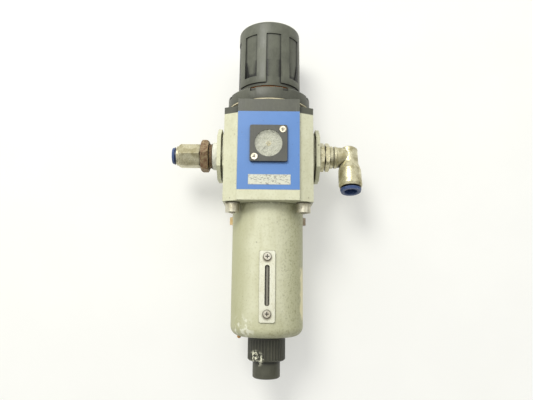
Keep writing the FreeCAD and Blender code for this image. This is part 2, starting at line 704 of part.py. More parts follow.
panels, deepFeet = [], []
for k in range(8):
    middle = f"panel_turn + {45 * k}"
    closed = k % 2 == 1
    low = f"{knobFoot} + panel_foot" if closed else knobFoot
    panels.append(sector(f"knob_panel{k}", "knob_radius + 5", low, f"{knobTop} - panel_top", middle))
    if closed:
        deepFeet.append(sector(f"knob_panel_foot{k}", "knob_radius + 5", low, f"{low} + panel_notch_high",
                               middle))
shallow = cut("knob_panels_cut", joined("knob_panels", panels),
              [cylinder("knob_panel_floor", "knob_floor", knobFoot, knobTop)])
footSlope = doc.addObject("Part::Cone", "knob_foot_slope")
for side, text in (("Radius1", "knob_floor - panel_notch"), ("Radius2", "knob_floor"),
                   ("Height", "panel_notch_high"), (".Placement.Base.z", f"{knobFoot} + panel_foot")):
    footSlope.setExpression(side, bound(text))
deep = cut("knob_feet_cut", joined("knob_feet", deepFeet), [footSlope])
knobSocket = hexagon("knob_socket", "screw_hex + 2 * running", hubFoot, socketRoof)
keep(cut("knob", knobBlank, [shallow, deep, knobSocket]))

# ---- adjusting screw, spring seat and main spring

upperTop = "(body_top + upper_plate_thick)"
springTop = f"({upperTop} + spring_long)"
seatTop = f"({springTop} + seat_thick)"
screwHead = hexagon("screw_head", "screw_hex", f"{towerTop} + gap", f"{towerTop} + screw_head_high")
screwBar = cylinder("screw_bar", "screw_radius", f"{springTop} - 11", f"{towerTop} + 1")
screwCollar = cylinder("screw_collar", "screw_radius + 3", f"{towerTop} - tower_roof - 2.5",
                       f"{towerTop} - tower_roof - gap")
keep(joined("adjusting_screw", [screwHead, screwBar, screwCollar]))
keep(turned("spring_seat", [
    ("screw_radius + running", f"{springTop} - 4"), ("spring_mean - spring_wire - 0.4", f"{springTop} - 4"),
    ("spring_mean - spring_wire - 0.4", f"{springTop} + gap"), ("seat_radius", f"{springTop} + gap"),
    ("seat_radius", seatTop), ("screw_radius + running", seatTop)]))
keep(spring("pressure_spring", "spring_mean", "spring_wire", f"{upperTop} + gap", springTop,
    "spring_turns"))

# ---- diaphragm: rubber disc clamped at its rim, between an upper plate and a lower disc

rubberFoot = "(body_top - diaphragm_thick)"
keep(tube("diaphragm", "diaphragm_hole + slip", "rim_radius - slip", rubberFoot, "body_top"))
keep(turned("diaphragm_plate", [
    ("diaphragm_hole + slip", "body_top + gap"), ("upper_plate_radius", "body_top + gap"),
    ("upper_plate_radius", upperTop), ("spring_mean - spring_wire - 0.4", upperTop),
    ("spring_mean - spring_wire - 0.4", f"{upperTop} + 3"), ("diaphragm_hole + slip", f"{upperTop} + 3")]))
discFoot = f"({rubberFoot} - lower_disc_thick)"
keep(turned("diaphragm_disc", [
    ("0", discFoot), ("lower_disc_radius", discFoot), ("lower_disc_radius", f"{rubberFoot} - gap"),
    ("diaphragm_hole", f"{rubberFoot} - gap"), ("diaphragm_hole", f"{upperTop} + 3.5"),
    ("0", f"{upperTop} + 3.5")]))

# ---- valve: seat ring, poppet on its stem, guide with spring

seatFoot = "(-chamber_low - seat_ring_thick)"
keep(tube("valve_seat", "seat_hole", "valve_bore - slip", seatFoot, "-chamber_low"))
poppetTop = f"({seatFoot} - gap)"
poppetFoot = f"({poppetTop} - poppet_thick)"
keep(turned("valve_stem", [
    ("0", f"{poppetFoot} - stem_long"), ("stem_radius", f"{poppetFoot} - stem_long"),
    ("stem_radius", poppetFoot),
    ("poppet_radius", poppetFoot), ("poppet_radius", poppetTop), ("pin_radius", poppetTop),
    ("pin_radius", f"{discFoot} - gap"), ("0", f"{discFoot} - gap")]))
guideFoot = "(-valve_bore_low - guide_thick)"
guideSolid = turned("guide_solid", [
    ("0", guideFoot), ("guide_bore - slip", guideFoot), ("guide_bore - slip", "-valve_bore_low"),
    ("guide_hub_radius", "-valve_bore_low"), ("guide_hub_radius", "-valve_bore_low + guide_hub_high"),
    ("0", "-valve_bore_low + guide_hub_high")])
guideCuts = [cylinder("guide_stem_way", "stem_radius + running", "-valve_bore_low - 0.5",
                      "-valve_bore_low + guide_hub_high"),
             cylinder("guide_stud_way", "stud_radius + slip", guideFoot, "-valve_bore_low - 1"),
             tube("guide_seal_groove", "guide_bore - 1.3", "guide_bore + 1", f"{guideFoot} + 0.9",
             f"{guideFoot} + 2.1")]
for k in range(6):
    angle = math.radians(60 * k + 30)
    at = (f"{math.cos(angle):.6f} * 8.9", f"{math.sin(angle):.6f} * 8.9")
    guideCuts.append(cylinder(f"guide_port{k}", "1.7", guideFoot, "-valve_bore_low", "Z", at))
keep(cut("valve_guide", guideSolid, guideCuts))
keep(tube("valve_guide_seal", "guide_bore - 1.25", "guide_bore - 0.02", f"{guideFoot} + 0.95",
    f"{guideFoot} + 2.05"))
keep(spring("valve_spring", "valve_spring_mean", "valve_wire", "-valve_bore_low + gap",
    f"{poppetFoot} - gap",
            "valve_spring_turns"))

# ---- filter stack hung from the guide by the baffle's stud

deflectorFoot = "(-bowl_ceiling - deflector_thick)"
deflectorSolid = tube("deflector_solid", "guide_bore - 1", "deflector_radius", deflectorFoot,
    "-bowl_ceiling - 0.02")
vanes = []
for k in range(16):
    slit = block(f"deflector_slit{k}", ("filter_radius + 2.5", "deflector_radius + 3"), ("-1.3", "1.3"),
                 (f"{deflectorFoot} - 3", "-bowl_ceiling + 3"))
    leaning = doc.addObject("Part::Compound", f"deflector_slit_turned{k}")
    leaning.Links = [slit]
    tilt = FreeCAD.Rotation(V(1, 0, 0), 35)
    middle = V(0, 0, value(f"({deflectorFoot} - bowl_ceiling) / 2"))
    leaning.Placement = (FreeCAD.Placement(V(), FreeCAD.Rotation(V(0, 0, 1), 22.5 * k))
                         * FreeCAD.Placement(middle - tilt.multVec(middle), tilt))
    vanes.append(leaning)
keep(cut("swirl_deflector", deflectorSolid, vanes))
filterTop = f"({deflectorFoot} - 0.02)"
filterFoot = f"({filterTop} - filter_long)"
keep(tube("filter_element", "filter_bore", "filter_radius", filterFoot, filterTop))
baffleTop = f"({filterFoot} - 0.02)"
keep(turned("baffle", [
    ("0", f"{baffleTop} - baffle_thick"), ("baffle_radius - 1", f"{baffleTop} - baffle_thick - 2"),
    ("baffle_radius", f"{baffleTop} - baffle_thick"), ("baffle_radius - 2", baffleTop),
    ("stud_radius", baffleTop), ("stud_radius", "-valve_bore_low - 1.1"), ("0", "-valve_bore_low - 1.1")]))

# ---- bowl with its sight glass

neckEnd = "(-bowl_ceiling - bowl_seal_high)"
shoulder = "(-body_bottom + bowl_bore_deep - 0.2)"
bowlInside = "(bowl_radius - bowl_wall)"
neckInside = "(bowl_neck_radius - bowl_neck_wall)"
floorTop = "(-bowl_foot + bowl_floor)"
bowlBlank = turned("bowl_blank", [
    ("collar_stud_radius + slip", "-bowl_foot"), ("bowl_radius", "-bowl_foot"), ("bowl_radius", shoulder),
    ("bowl_neck_radius - slip", shoulder), ("bowl_neck_radius - slip", neckEnd), (neckInside, neckEnd),
    (bowlInside, f"{neckEnd} - 8"), (bowlInside, f"{floorTop} + 4"), (f"{bowlInside} - 4", floorTop),
    ("collar_stud_radius + slip", floorTop)])
doc.recompute()
foot = [f"Edge{k}" for k, edge in enumerate(bowlBlank.Shape.Edges, 1)
        if all(abs(spot.Point.z + value("bowl_foot")) < 0.01 for spot in edge.Vertexes)
        and abs(edge.BoundBox.XMax - value("bowl_radius")) < 0.01]
spun = bowlBlank.Tip
footRound = bowlBlank.newObject("PartDesign::Fillet", "bowl_foot_round")
footRound.Base = (spun, foot)
footRound.setExpression("Radius", bound("bowl_corner - 0.6"))
halfSight = "sight_wide / 2"
outside = "bowl_radius + 2"
glassTop = "(-sight_slot_top + 1.8)"
glassFoot = "(-sight_slot_foot - 1.8)"
glassFront = "(sight_flat - slip)"
glassBack = "(sight_flat - slip - sight_glass_thick)"
gasketBack = f"({glassBack} - sight_gasket_thick)"
sightScrews = [("0", "-sight_top - sight_screw_set + 1"), ("0", "-sight_foot + sight_screw_set + 1")]
bowlCuts = [
    block("sight_milled", (f"-{halfSight} - 0.1", f"{halfSight} + 0.1"), (f"-({outside})", "-sight_flat"),
          ("-sight_foot - 0.1", "-sight_top + 0.1")),
    block("sight_pocket", ("-sight_glass_wide / 2 - slip", "sight_glass_wide / 2 + slip"),
          (f"-({outside})", f"-{gasketBack}"), (f"{glassFoot} - slip", f"{glassTop} + slip")),
    block("sight_opening", ("-sight_window / 2", "sight_window / 2"), (f"-({outside})", "-bowl_radius / 2"),
          (f"{glassFoot} + 2", f"{glassTop} - 2")),
]
bowlCuts += [cylinder(f"sight_screw_hole{k}", "1.2", "-sight_flat - 1", "-sight_flat + 2.2", "Y", at)
             for k, at in enumerate(sightScrews)]
keep(cut("bowl", bowlBlank, bowlCuts))
plateFace = "(sight_flat + sight_thick)"
sheet = block("sight_sheet", (f"-{halfSight}", halfSight), (f"-{plateFace}", "-sight_flat"),
              ("-sight_foot", "-sight_top"))
sheetRound = doc.addObject("Part::Fillet", "sight_sheet_rounded")
sheetRound.Base = sheet
doc.recompute()
sheetRound.Edges = [(k, 1.6, 1.6) for k, edge in enumerate(sheet.Shape.Edges, 1)
                    if abs(edge.Vertexes[0].Point.y - edge.Vertexes[1].Point.y) > 0.1]
slotHalf = "sight_slot / 2"
slotRun = block("slot_run", (f"-{slotHalf}", slotHalf), (f"-{plateFace} - 1", "-sight_flat + 1"),
                (f"-sight_slot_foot + {slotHalf}", f"-sight_slot_top - {slotHalf}"))
slotEnds = [cylinder(f"slot_end{k}", slotHalf, f"-{plateFace} - 1", "-sight_flat + 1", "Y", ("0", level))
            for k, level in enumerate((f"-sight_slot_foot + {slotHalf}", f"-sight_slot_top - {slotHalf}"))]
plateHoles = [cylinder(f"sight_plate_hole{k}", "1.3", f"-{plateFace} - 1", "-sight_flat + 1", "Y", at)
              for k, at in enumerate(sightScrews)]
keep(cut("sight_plate", sheetRound, [slotRun, *slotEnds, *plateHoles]))
keep(block("sight_glass", ("-sight_glass_wide / 2", "sight_glass_wide / 2"),
    (f"-{glassFront}", f"-{glassBack}"),
           (glassFoot, glassTop)))
gasketSheet = block("gasket_sheet", ("-sight_glass_wide / 2", "sight_glass_wide / 2"),
                    (f"-{glassBack}", f"-{gasketBack}"), (glassFoot, glassTop))
keep(cut("sight_gasket", gasketSheet, [block("gasket_window", ("-sight_window / 2", "sight_window / 2"),
                                             (f"-{glassBack} - 1", f"-{gasketBack} + 1"),
                                             (f"{glassFoot} + 2", f"{glassTop} - 2"))]))
keep(group("sight_screws", [crossScrew(f"sight_screw{k}", "sight_screw_head", "1.15", f"-{plateFace}",
                                       "-sight_flat + 2", at, 1.1) for k, at in enumerate(sightScrews)]))
keep(tube("bowl_seal", f"{neckInside} + 0.3", "bowl_neck_radius - 0.1", f"{neckEnd} + 0.02",
    "-bowl_ceiling"))

# ---- drain: ribbed collar, nut inside the bowl, pin and turning knob

collarFoot = "(-bowl_foot - collar_high)"
collarSolid = turned("collar_solid", [
    ("drain_pin_radius + running", "-bowl_foot + collar_stud_long - 6"),
    ("drain_hole", "-bowl_foot + collar_stud_long - 6"),
    ("drain_hole", "-bowl_foot + collar_stud_long"), ("collar_stud_radius",
    "-bowl_foot + collar_stud_long"),
    ("collar_stud_radius", "-bowl_foot - gap"), ("collar_radius", "-bowl_foot - gap"),
    ("collar_radius", f"{collarFoot} + 1"), ("collar_radius - 1", collarFoot),
    ("drain_bore + running", collarFoot), ("drain_bore + running", f"{collarFoot} + 9"),
    ("drain_pin_radius + running", f"{collarFoot} + 9")])
collarCuts = [tube("collar_seal_groove", "collar_stud_radius + 0.6", "collar_stud_radius + 2.6",
    "-bowl_foot - 1.2", "-bowl_foot")]
for k in range(int(value("collar_ribs"))):
    angle = 2 * math.pi * k / value("collar_ribs")
    at = (f"(collar_radius + 0.35) * {math.cos(angle):.6f}",
        f"(collar_radius + 0.35) * {math.sin(angle):.6f}")
    collarCuts.append(cylinder(f"collar_flute{k}", "0.85", collarFoot, "-bowl_foot - 2.2", "Z", at))
keep(cut("drain_collar", collarSolid, collarCuts))
keep(tube("drain_collar_seal", "collar_stud_radius + 0.65", "collar_stud_radius + 2.55",
    "-bowl_foot - 1.15", "-bowl_foot - 0.02"))
nutBar = hexagon("retainer_bar", "retainer_hex", f"{floorTop} + 0.02", f"{floorTop} + retainer_thick")
keep(cut("drain_retainer", nutBar, [cylinder("retainer_hole", "collar_stud_radius + slip", floorTop,
                                             f"{floorTop} + retainer_thick + 1")]))
drainTop = f"({collarFoot} - gap)"
drainFoot = f"({drainTop} - drain_knob_high)"
keep(turned("drain_knob", [
    ("drain_hole", drainFoot), ("drain_knob_radius - 0.8", drainFoot),
    ("drain_knob_radius", f"{drainFoot} + 0.8"),
    ("drain_knob_radius", f"{drainTop} - 0.6"), ("drain_knob_radius - 0.6", drainTop),
    ("drain_bore", drainTop),
    ("drain_bore", f"{collarFoot} + 7"), ("drain_hole", f"{collarFoot} + 7")]))
pinFoot = f"({collarFoot} + 7 + gap + drain_open)"
pinTop = "(-bowl_foot + collar_stud_long + gap + drain_open)"
keep(turned("drain_pin", [
    ("0", f"{collarFoot} + 7 + gap"), ("drain_pin_radius", f"{collarFoot} + 7 + gap"),
    ("drain_pin_radius", pinTop),
    ("drain_head_radius", pinTop), ("drain_head_radius - 1", f"{pinTop} + 2"), ("0", f"{pinTop} + 2")]))
keep(tube("drain_pin_seal", "drain_pin_radius + running", "drain_hole - 0.05",
    "-bowl_foot + collar_stud_long - 5.9",
          "-bowl_foot + collar_stud_long - 3.9"))

# ---- inlet: hexagonal bushing, tape, straight connector with collet, seal and release sleeve

flangeFace = f"-({flangeEnd})"
hexNear = f"({flangeFace} - bushing_stand)"
hexFar = f"({hexNear} - bushing_hex_long)"
bushingTip = f"({flangeFace} + port_depth - 1)"
ridges = []
for k in range(4):
    start = f"{hexNear} + {k} * bushing_thread_pitch"
    ridges += [(start, "port_thread_radius - 0.9"), (f"{start} + bushing_thread_pitch / 2",
        "port_thread_radius")]
threadPart = turned("bushing_thread", [
    (hexNear, "bushing_bore")] + ridges + [
    (f"{hexNear} + 4 * bushing_thread_pitch", "port_thread_radius - 0.9"),
    (bushingTip, "port_thread_radius - 0.3"),
    (bushingTip, "bushing_bore")], "H_Axis")
bushingBar = hexagon("bushing_bar", "bushing_hex", hexFar, hexNear, "X", turn=90)
chamferCone = turned("bushing_turned", [
    (hexFar, "0"), (hexFar, "bushing_hex / 2 + 0.2"), (f"{hexFar} + 1.2", "bushing_hex / 2 + 1.9"),
    (f"{hexNear} - 1.2", "bushing_hex / 2 + 1.9"), (hexNear, "bushing_hex / 2 + 0.2"), (hexNear, "0")],
    "H_Axis")
bushingHex = doc.addObject("Part::MultiCommon", "bushing_hexagon")
bushingHex.Shapes = [bushingBar, chamferCone]
bushingWay = cylinder("bushing_way", "bushing_bore", f"{hexFar} - 1", bushingTip, "X")
keep(cut("inlet_bushing", joined("bushing_solid", [bushingHex, threadPart]), [bushingWay]))
keep(tube("thread_tape", "port_thread_radius + 0.02", "port_thread_radius + tape_thick",
    f"{flangeFace} - tape_long",
          f"{flangeFace} - 0.02", "H_Axis"))


def tubeSocket(name, mouth, inward, axis, at=("0", "0")):
    """The bores of a push-in socket: wide room for collet and seal, tube stop, flow way."""
    step = lambda depth: f"({mouth}) + {inward} * ({depth})"
    room = "sleeve_long - sleeve_travel + collet_long + tube_seal_long + 1.9"
    spans = (("room", "socket_radius", "-1", room), ("stop", "tube_radius", "0", f"{room} + 2.5"),
             ("flow", "flow_radius", "0", f"{room} + 60"))
    return [cylinder(f"{name}_{part}", radius, *sorted((step(low), step(high)), key=value), axis, at)
            for part, radius, low, high in spans]


def socketRings(name, mouth, inward, flange, axis, tilt=None):
    """Release sleeve, collet and seal of a push-in socket, from the mouth inwards."""
    step = lambda depth: f"({mouth}) + {inward} * ({depth})"
    wall = "tube_radius + sleeve_wall"
    out = f"({step('-sleeve_travel - 0.2')})"
    tip = f"({step('sleeve_long - sleeve_travel')})"
    flangeOut = f"({step('-sleeve_travel - 0.2 - sleeve_flange')})"
    if axis == "H_Axis":
        spots = [(flangeOut, "tube_radius + 0.5"), (flangeOut, f"({flange}) - 0.7"), (out, flange),
            (out, wall),
                 (tip, wall), (tip, "tube_radius"), (f"({step('-sleeve_travel - sleeve_flange + 0.4')})",
                 "tube_radius")]
    else:
        spots = [("tube_radius + 0.5", flangeOut), (f"({flange}) - 0.7", flangeOut), (flange, out),
            (wall, out),
                 (wall, tip), ("tube_radius", tip), ("tube_radius",
                 f"({step('-sleeve_travel - sleeve_flange + 0.4')})")]
    sleeve = turned(f"{name}_release_sleeve", spots, axis)
    ring = lambda part, inner, outer, a, b: tube(f"{name}_{part}", inner, outer,
                                                 *sorted((step(a), step(b)), key=value), axis)
    start = "sleeve_long - sleeve_travel + 1.7"
    collet = ring("collet", "tube_radius + 0.1", "socket_radius - 0.1", start,
        f"{start} + collet_long - 0.1")
    seal = ring("tube_seal", "tube_radius - 0.1", "socket_radius - 0.05", f"{start} + collet_long",
                f"{start} + collet_long + tube_seal_long")
    return [sleeve, collet, seal]


hexStart = f"({hexFar} - connector_neck)"
hexEnd = f"({hexStart} - connector_hex_long)"
inletMouth = f"({hexEnd} - connector_collar)"
connectorBar = hexagon("connector_bar", "connector_hex", hexEnd, hexStart, "X", turn=90)
connectorTurned = turned("connector_turned", [
    (hexEnd, "0"), (hexEnd, "connector_hex / 2 - 0.1"), (f"{hexEnd} + 1.8", "connector_hex / 2 + 1.4"),
    (f"{hexStart} - 0.8", "connector_hex / 2 + 1.4"), (hexStart, "connector_hex / 2 + 0.3"),
    (hexStart, "0")], "H_Axis")
connectorHex = doc.addObject("Part::MultiCommon", "connector_hexagon")
connectorHex.Shapes = [connectorBar, connectorTurned]
connectorStud = cylinder("connector_stud", "bushing_bore - slip", hexStart, f"{hexFar} + 15", "X")
connectorCollar = cylinder("connector_collar_ring", "connector_collar_radius", inletMouth, hexEnd, "X")
keep(cut("inlet_connector", joined("connector_solid", [connectorHex, connectorStud, connectorCollar]),
         tubeSocket("inlet_socket", inletMouth, 1, "X")))
for ring in socketRings("inlet", inletMouth, 1, "inlet_flange_radius", "H_Axis"):
    keep(ring)

# ---- outlet: hexagonal adapter with a hollow spigot, and an elbow that swivels on it

adapterNear = flangeEnd
adapterFar = f"({adapterNear} + adapter_hex_long)"
collarEnd = f"({adapterFar} + adapter_collar)"
spigotEnd = f"({collarEnd} + spigot_long)"
adapterBar = hexagon("adapter_bar", "adapter_hex", f"{adapterNear} + 0.2", adapterFar, "X", turn=0)
adapterTurned = turned("adapter_turned", [
    (adapterNear, "0"), (adapterNear, "adapter_hex / 2 + 1.6"),
    (f"{adapterFar} - 4.6", "adapter_hex / 2 + 1.6"),
    (f"{adapterFar} - 4.1", "adapter_hex / 2 - 0.4"), (f"{adapterFar} - 3.5", "adapter_hex / 2 - 0.4"),
    (f"{adapterFar} - 3", "adapter_hex / 2 + 1.6"), (f"{adapterFar} - 0.7", "adapter_hex / 2 + 1.6"),
    (adapterFar, "adapter_hex / 2 + 0.4"), (adapterFar, "0")], "H_Axis")
adapterHex = doc.addObject("Part::MultiCommon", "adapter_hexagon")
adapterHex.Shapes = [adapterBar, adapterTurned]
adapterStem = turned("adapter_stem", [
    (f"{flangeEnd} - port_depth + 1", "0"), (f"{flangeEnd} - port_depth + 1", "port_thread_radius - 0.3"),
    (flangeEnd, "port_thread_radius"), (f"{adapterNear} + 0.4", "port_thread_radius"),
    (f"{adapterNear} + 0.4", "spigot_radius"),
    (adapterFar, "spigot_radius"), (adapterFar, "adapter_collar_radius"),
    (f"{collarEnd} - 0.9", "adapter_collar_radius"), (f"{collarEnd} - 0.6", "adapter_collar_radius - 0.8"),
    (collarEnd, "adapter_collar_radius - 0.8"), (collarEnd, "spigot_radius"),
    (f"{spigotEnd} - 4", "spigot_radius"), (f"{spigotEnd} - 4", "spigot_radius - 1.1"),
    (f"{spigotEnd} - 2", "spigot_radius - 1.1"), (f"{spigotEnd} - 2", "spigot_radius"),
    (spigotEnd, "spigot_radius"), (spigotEnd, "0")], "H_Axis")
keep(cut("outlet_adapter", joined("adapter_solid", [adapterHex, adapterStem]),
         [cylinder("adapter_way", "flow_radius", f"{flangeEnd} - port_depth", f"{spigotEnd} + 1", "X")]))
keep(tube("swivel_seal", "spigot_radius - 1.05", "spigot_radius - 0.02", f"{spigotEnd} - 3.95",
    f"{spigotEnd} - 2.05", "H_Axis"))

barrelAt = f"({flangeEnd} + elbow_run)"
elbowStart = f"({collarEnd} + gap)"
outletMouth = "(-elbow_drop)"
across = turned("elbow_across", [
    (elbowStart, "0"), (elbowStart, "elbow_radius - 0.6"), (f"{elbowStart} + 0.6", "elbow_radius"),
    (f"{elbowStart} + 2.2", "elbow_radius"), (f"{elbowStart} + 2.8", "elbow_radius - 0.5"),
    (f"{barrelAt} - 4", "elbow_radius - 0.9"), (barrelAt, "elbow_throat - 0.5"), (barrelAt, "0")], "H_Axis")
downSection = [("0", "elbow_top"), ("elbow_throat - 1.4", "elbow_top"), ("elbow_throat", "elbow_top - 1.4"),
               ("elbow_throat", "-6"), ("elbow_mouth - 0.3", "-12"), ("elbow_mouth", f"{outletMouth} + 2"),
               ("elbow_mouth - 0.9", outletMouth), ("0", outletMouth)]
down = turned("elbow_down", downSection)
down.setExpression(".Placement.Base.x", bound(barrelAt))
elbowWays = [cylinder("elbow_spigot_way", "spigot_radius + running", f"{elbowStart} - 1",
    f"{spigotEnd} + 0.3", "X"),
             cylinder("elbow_cross_way", "flow_radius - 0.6", f"{spigotEnd} - 1", f"{barrelAt} + 2", "X"),
             *[tool for tool in tubeSocket("outlet_socket", outletMouth, 1, "Z", (barrelAt, "0"))[:2]],
             cylinder("elbow_down_way", "flow_radius", outletMouth, "flow_radius", "Z", (barrelAt, "0"))]
elbow = cut("outlet_elbow", joined("elbow_solid", [across, down]), elbowWays)
leaned = [elbow]
for ring in socketRings("outlet", outletMouth, 1, "outlet_flange_radius", "V_Axis"):
    ring.setExpression(".Placement.Base.x", bound(barrelAt))
    leaned.append(ring)
for item in leaned:
    item.Placement = FreeCAD.Placement(V(), FreeCAD.Rotation(V(-1, 0, 0), 1))
    item.setExpression(".Placement.Rotation.Angle", bound("elbow_tilt"))
    if item is not elbow:
        item.setExpression(".Placement.Base.x", bound(barrelAt))
    keep(item)

doc.recompute()
broken = [item.Name for item in doc.Objects if "Invalid" in item.State or "Error" in item.State]
if broken:
    raise SystemExit("failed objects: " + ", ".join(broken))
os.makedirs("parts", exist_ok=True)
for label, item in pieces.items():
    shape = item.Shape
    if shape.isNull() or not shape.isValid() or shape.Volume <= 0:
        raise SystemExit("bad shape: " + label)
    shape.exportStep(f"parts/{label}.step")
print(len(pieces), "pieces written")
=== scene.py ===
# Compressed-air filter regulator: materials, small surface detail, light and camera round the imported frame.
import math

import bpy
import numpy as np
from mathutils import Matrix, Vector


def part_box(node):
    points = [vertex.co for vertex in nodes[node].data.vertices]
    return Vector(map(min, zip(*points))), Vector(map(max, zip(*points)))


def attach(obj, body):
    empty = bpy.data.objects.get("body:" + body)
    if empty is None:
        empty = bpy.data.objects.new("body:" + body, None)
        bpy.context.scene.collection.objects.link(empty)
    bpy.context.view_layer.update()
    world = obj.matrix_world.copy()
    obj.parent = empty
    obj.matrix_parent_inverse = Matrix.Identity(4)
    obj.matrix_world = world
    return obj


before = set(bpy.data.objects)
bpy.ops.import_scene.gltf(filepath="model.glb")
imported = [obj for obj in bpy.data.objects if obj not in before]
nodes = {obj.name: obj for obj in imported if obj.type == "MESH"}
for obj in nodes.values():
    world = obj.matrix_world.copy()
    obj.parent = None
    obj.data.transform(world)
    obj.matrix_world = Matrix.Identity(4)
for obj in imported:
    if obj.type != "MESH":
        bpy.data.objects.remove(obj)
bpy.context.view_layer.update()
mm = 0.001
print("frame loaded:", len(nodes), "nodes")


# A number that varies over a surface. Arithmetic on it adds Math nodes to the same net.
class Num:

    def __init__(self, net, socket):
        self.net = net
        self.socket = socket

    # One Math node on two values.
    def calc(self, operation, first, second):
        made = self.net.node("ShaderNodeMath", {"operation": operation}, {0: first, 1: second})
        return Num(self.net, made.outputs[0])

    def __add__(self, other):
        return self.calc("ADD", self, other)

    def __sub__(self, other):
        return self.calc("SUBTRACT", self, other)

    def __rsub__(self, other):
        return self.calc("SUBTRACT", other, self)

    def __mul__(self, other):
        return self.calc("MULTIPLY", self, other)

    __radd__ = __add__
    __rmul__ = __mul__

    def bigger(self, other):
        return self.calc("MAXIMUM", self, other)

    # 0 below low, 1 above high, and a smooth rise between (low may be the larger one).
    def step(self, low, high):
        made = self.net.node("ShaderNodeMapRange", {"interpolation_type": "SMOOTHSTEP"},
                             {"Value": self, "From Min": low, "From Max": high, "To Min": 0.0, "To Max": 1.0})
        return Num(self.net, made.outputs["Result"])


# The nodes of one material.
class Net:

    def __init__(self, name):
        self.material = bpy.data.materials.new(name)
        self.material.use_nodes = True
        self.tree = self.material.node_tree
        self.tree.nodes.clear()
        self.place = None

    # A node of one kind: its settings are made first, then its sockets get their values or links.
    def node(self, kind, settings=None, sockets=None):
        made = self.tree.nodes.new(kind)
        for key, setting in (settings or {}).items():
            setattr(made, key, setting)
        for key, feed in (sockets or {}).items():
            self.join(feed, made.inputs[key])
        return made

    # Links a socket or sets its value; a colour of three numbers gets an alpha of 1.
    def join(self, feed, target):
        if isinstance(feed, Num):
            feed = feed.socket
        if isinstance(feed, bpy.types.NodeSocket):
            self.tree.links.new(feed, target)
        elif isinstance(feed, (tuple, list)) and len(feed) == 3 and len(target.default_value) == 4:
            target.default_value = (*feed, 1.0)
        else:
            target.default_value = feed

    # Object coordinates in millimetres, stretched and shifted.
    def spots(self, stretch=(1, 1, 1), shift=(0, 0, 0)):
        if self.place is None:
            self.place = self.node("ShaderNodeTexCoord").outputs["Object"]
        scale = tuple(1000.0 * s for s in stretch)
        return self.node("ShaderNodeMapping", None,
                         {"Vector": self.place, "Scale": scale, "Location": shift}).outputs["Vector"]

    # Cloudy noise, 0 to 1, with features about size millimetres across.
    def noise(self, size, detail=3.0, rough=0.55, stretch=(1, 1, 1), shift=(0, 0, 0), warp=0.0):
        made = self.node("ShaderNodeTexNoise", None,
                         {"Vector": self.spots(stretch, shift), "Scale": 1.0 / size, "Detail": detail,
                          "Roughness": rough, "Distortion": warp})
        return Num(self, made.outputs["Fac"])

    # Distance to the nearest of scattered points about size millimetres apart.
    def cells(self, size, stretch=(1, 1, 1), shift=(0, 0, 0)):
        made = self.node("ShaderNodeTexVoronoi", {"feature": "F1"},
                         {"Vector": self.spots(stretch, shift), "Scale": 1.0 / size})
        return Num(self, made.outputs["Distance"])

    # One object coordinate in millimetres.
    def axis(self, which):
        made = self.node("ShaderNodeSeparateXYZ", None, {0: self.spots()})
        return Num(self, made.outputs["XYZ".index(which)])

    # 1 on sharp edges within a radius in millimetres, 0 on flats.
    def edge(self, radius):
        soft = self.node("ShaderNodeBevel", {"samples": 4}, {"Radius": radius * mm}).outputs["Normal"]
        plain = self.node("ShaderNodeNewGeometry").outputs["True Normal"]
        along = self.node("ShaderNodeVectorMath", {"operation": "DOT_PRODUCT"}, {0: soft, 1: plain})
        return Num(self, along.outputs["Value"]).step(0.995, 0.88)

    # 1 near a place given in millimetres, falling to 0 at a reach from it.
    def near(self, place, reach):
        away = self.node("ShaderNodeVectorMath", {"operation": "DISTANCE"}, {0: self.spots(), 1: place})
        return Num(self, away.outputs["Value"]).step(reach, 0.55 * reach)

    # 1 in corners and grooves closer together than a reach in millimetres, 0 in the open.
    def hollow(self, reach, low=0.80, high=0.45):
        made = self.node("ShaderNodeAmbientOcclusion", {"samples": 8}, {"Distance": reach * mm})
        return Num(self, made.outputs["AO"]).step(low, high)

    # One colour turning into another by an amount of 0 to 1.
    def mix(self, amount, first, second):
        made = self.node("ShaderNodeMix", {"data_type": "RGBA"}, {0: amount, 6: first, 7: second})
        return made.outputs[2]

    # Bump from a height of 0 to 1 that stands for a depth in millimetres.
    def bump(self, height, depth):
        return self.node("ShaderNodeBump", None,
                         {"Height": height, "Strength": 1.0, "Distance": depth * mm}).outputs["Normal"]

    # Principled surface from named sockets, written with an underscore for each space.
    def finish(self, **feeds):
        surface = self.node("ShaderNodeBsdfPrincipled", None,
                            {key.replace("_", " "): feed for key, feed in feeds.items()})
        self.node("ShaderNodeOutputMaterial", None, {"Surface": surface.outputs[0]})
        return self.material


# Gives each named CAD node one material.
def setMaterial(material, names):
    for name in names:
        mesh = nodes[name].data
        mesh.materials.clear()
        mesh.materials.append(material)


# Colours of the castings' coat and of what has got on it. The dirt colour also paints shade in corners and
# grooves, and one darker yellow-green paints shade on the bowl's sides and foot.
paint = {"cream": (0.60, 0.60, 0.425), "pale": (0.70, 0.705, 0.545), "stain": (0.40, 0.385, 0.22),
         "dirt": (0.10, 0.088, 0.05), "metal": (0.40, 0.385, 0.30), "glue": (0.78, 0.72, 0.42),
         "chalk": (0.80, 0.81, 0.68), "sideShade": (0.355, 0.355, 0.185), "brown": (0.24, 0.21, 0.09)}
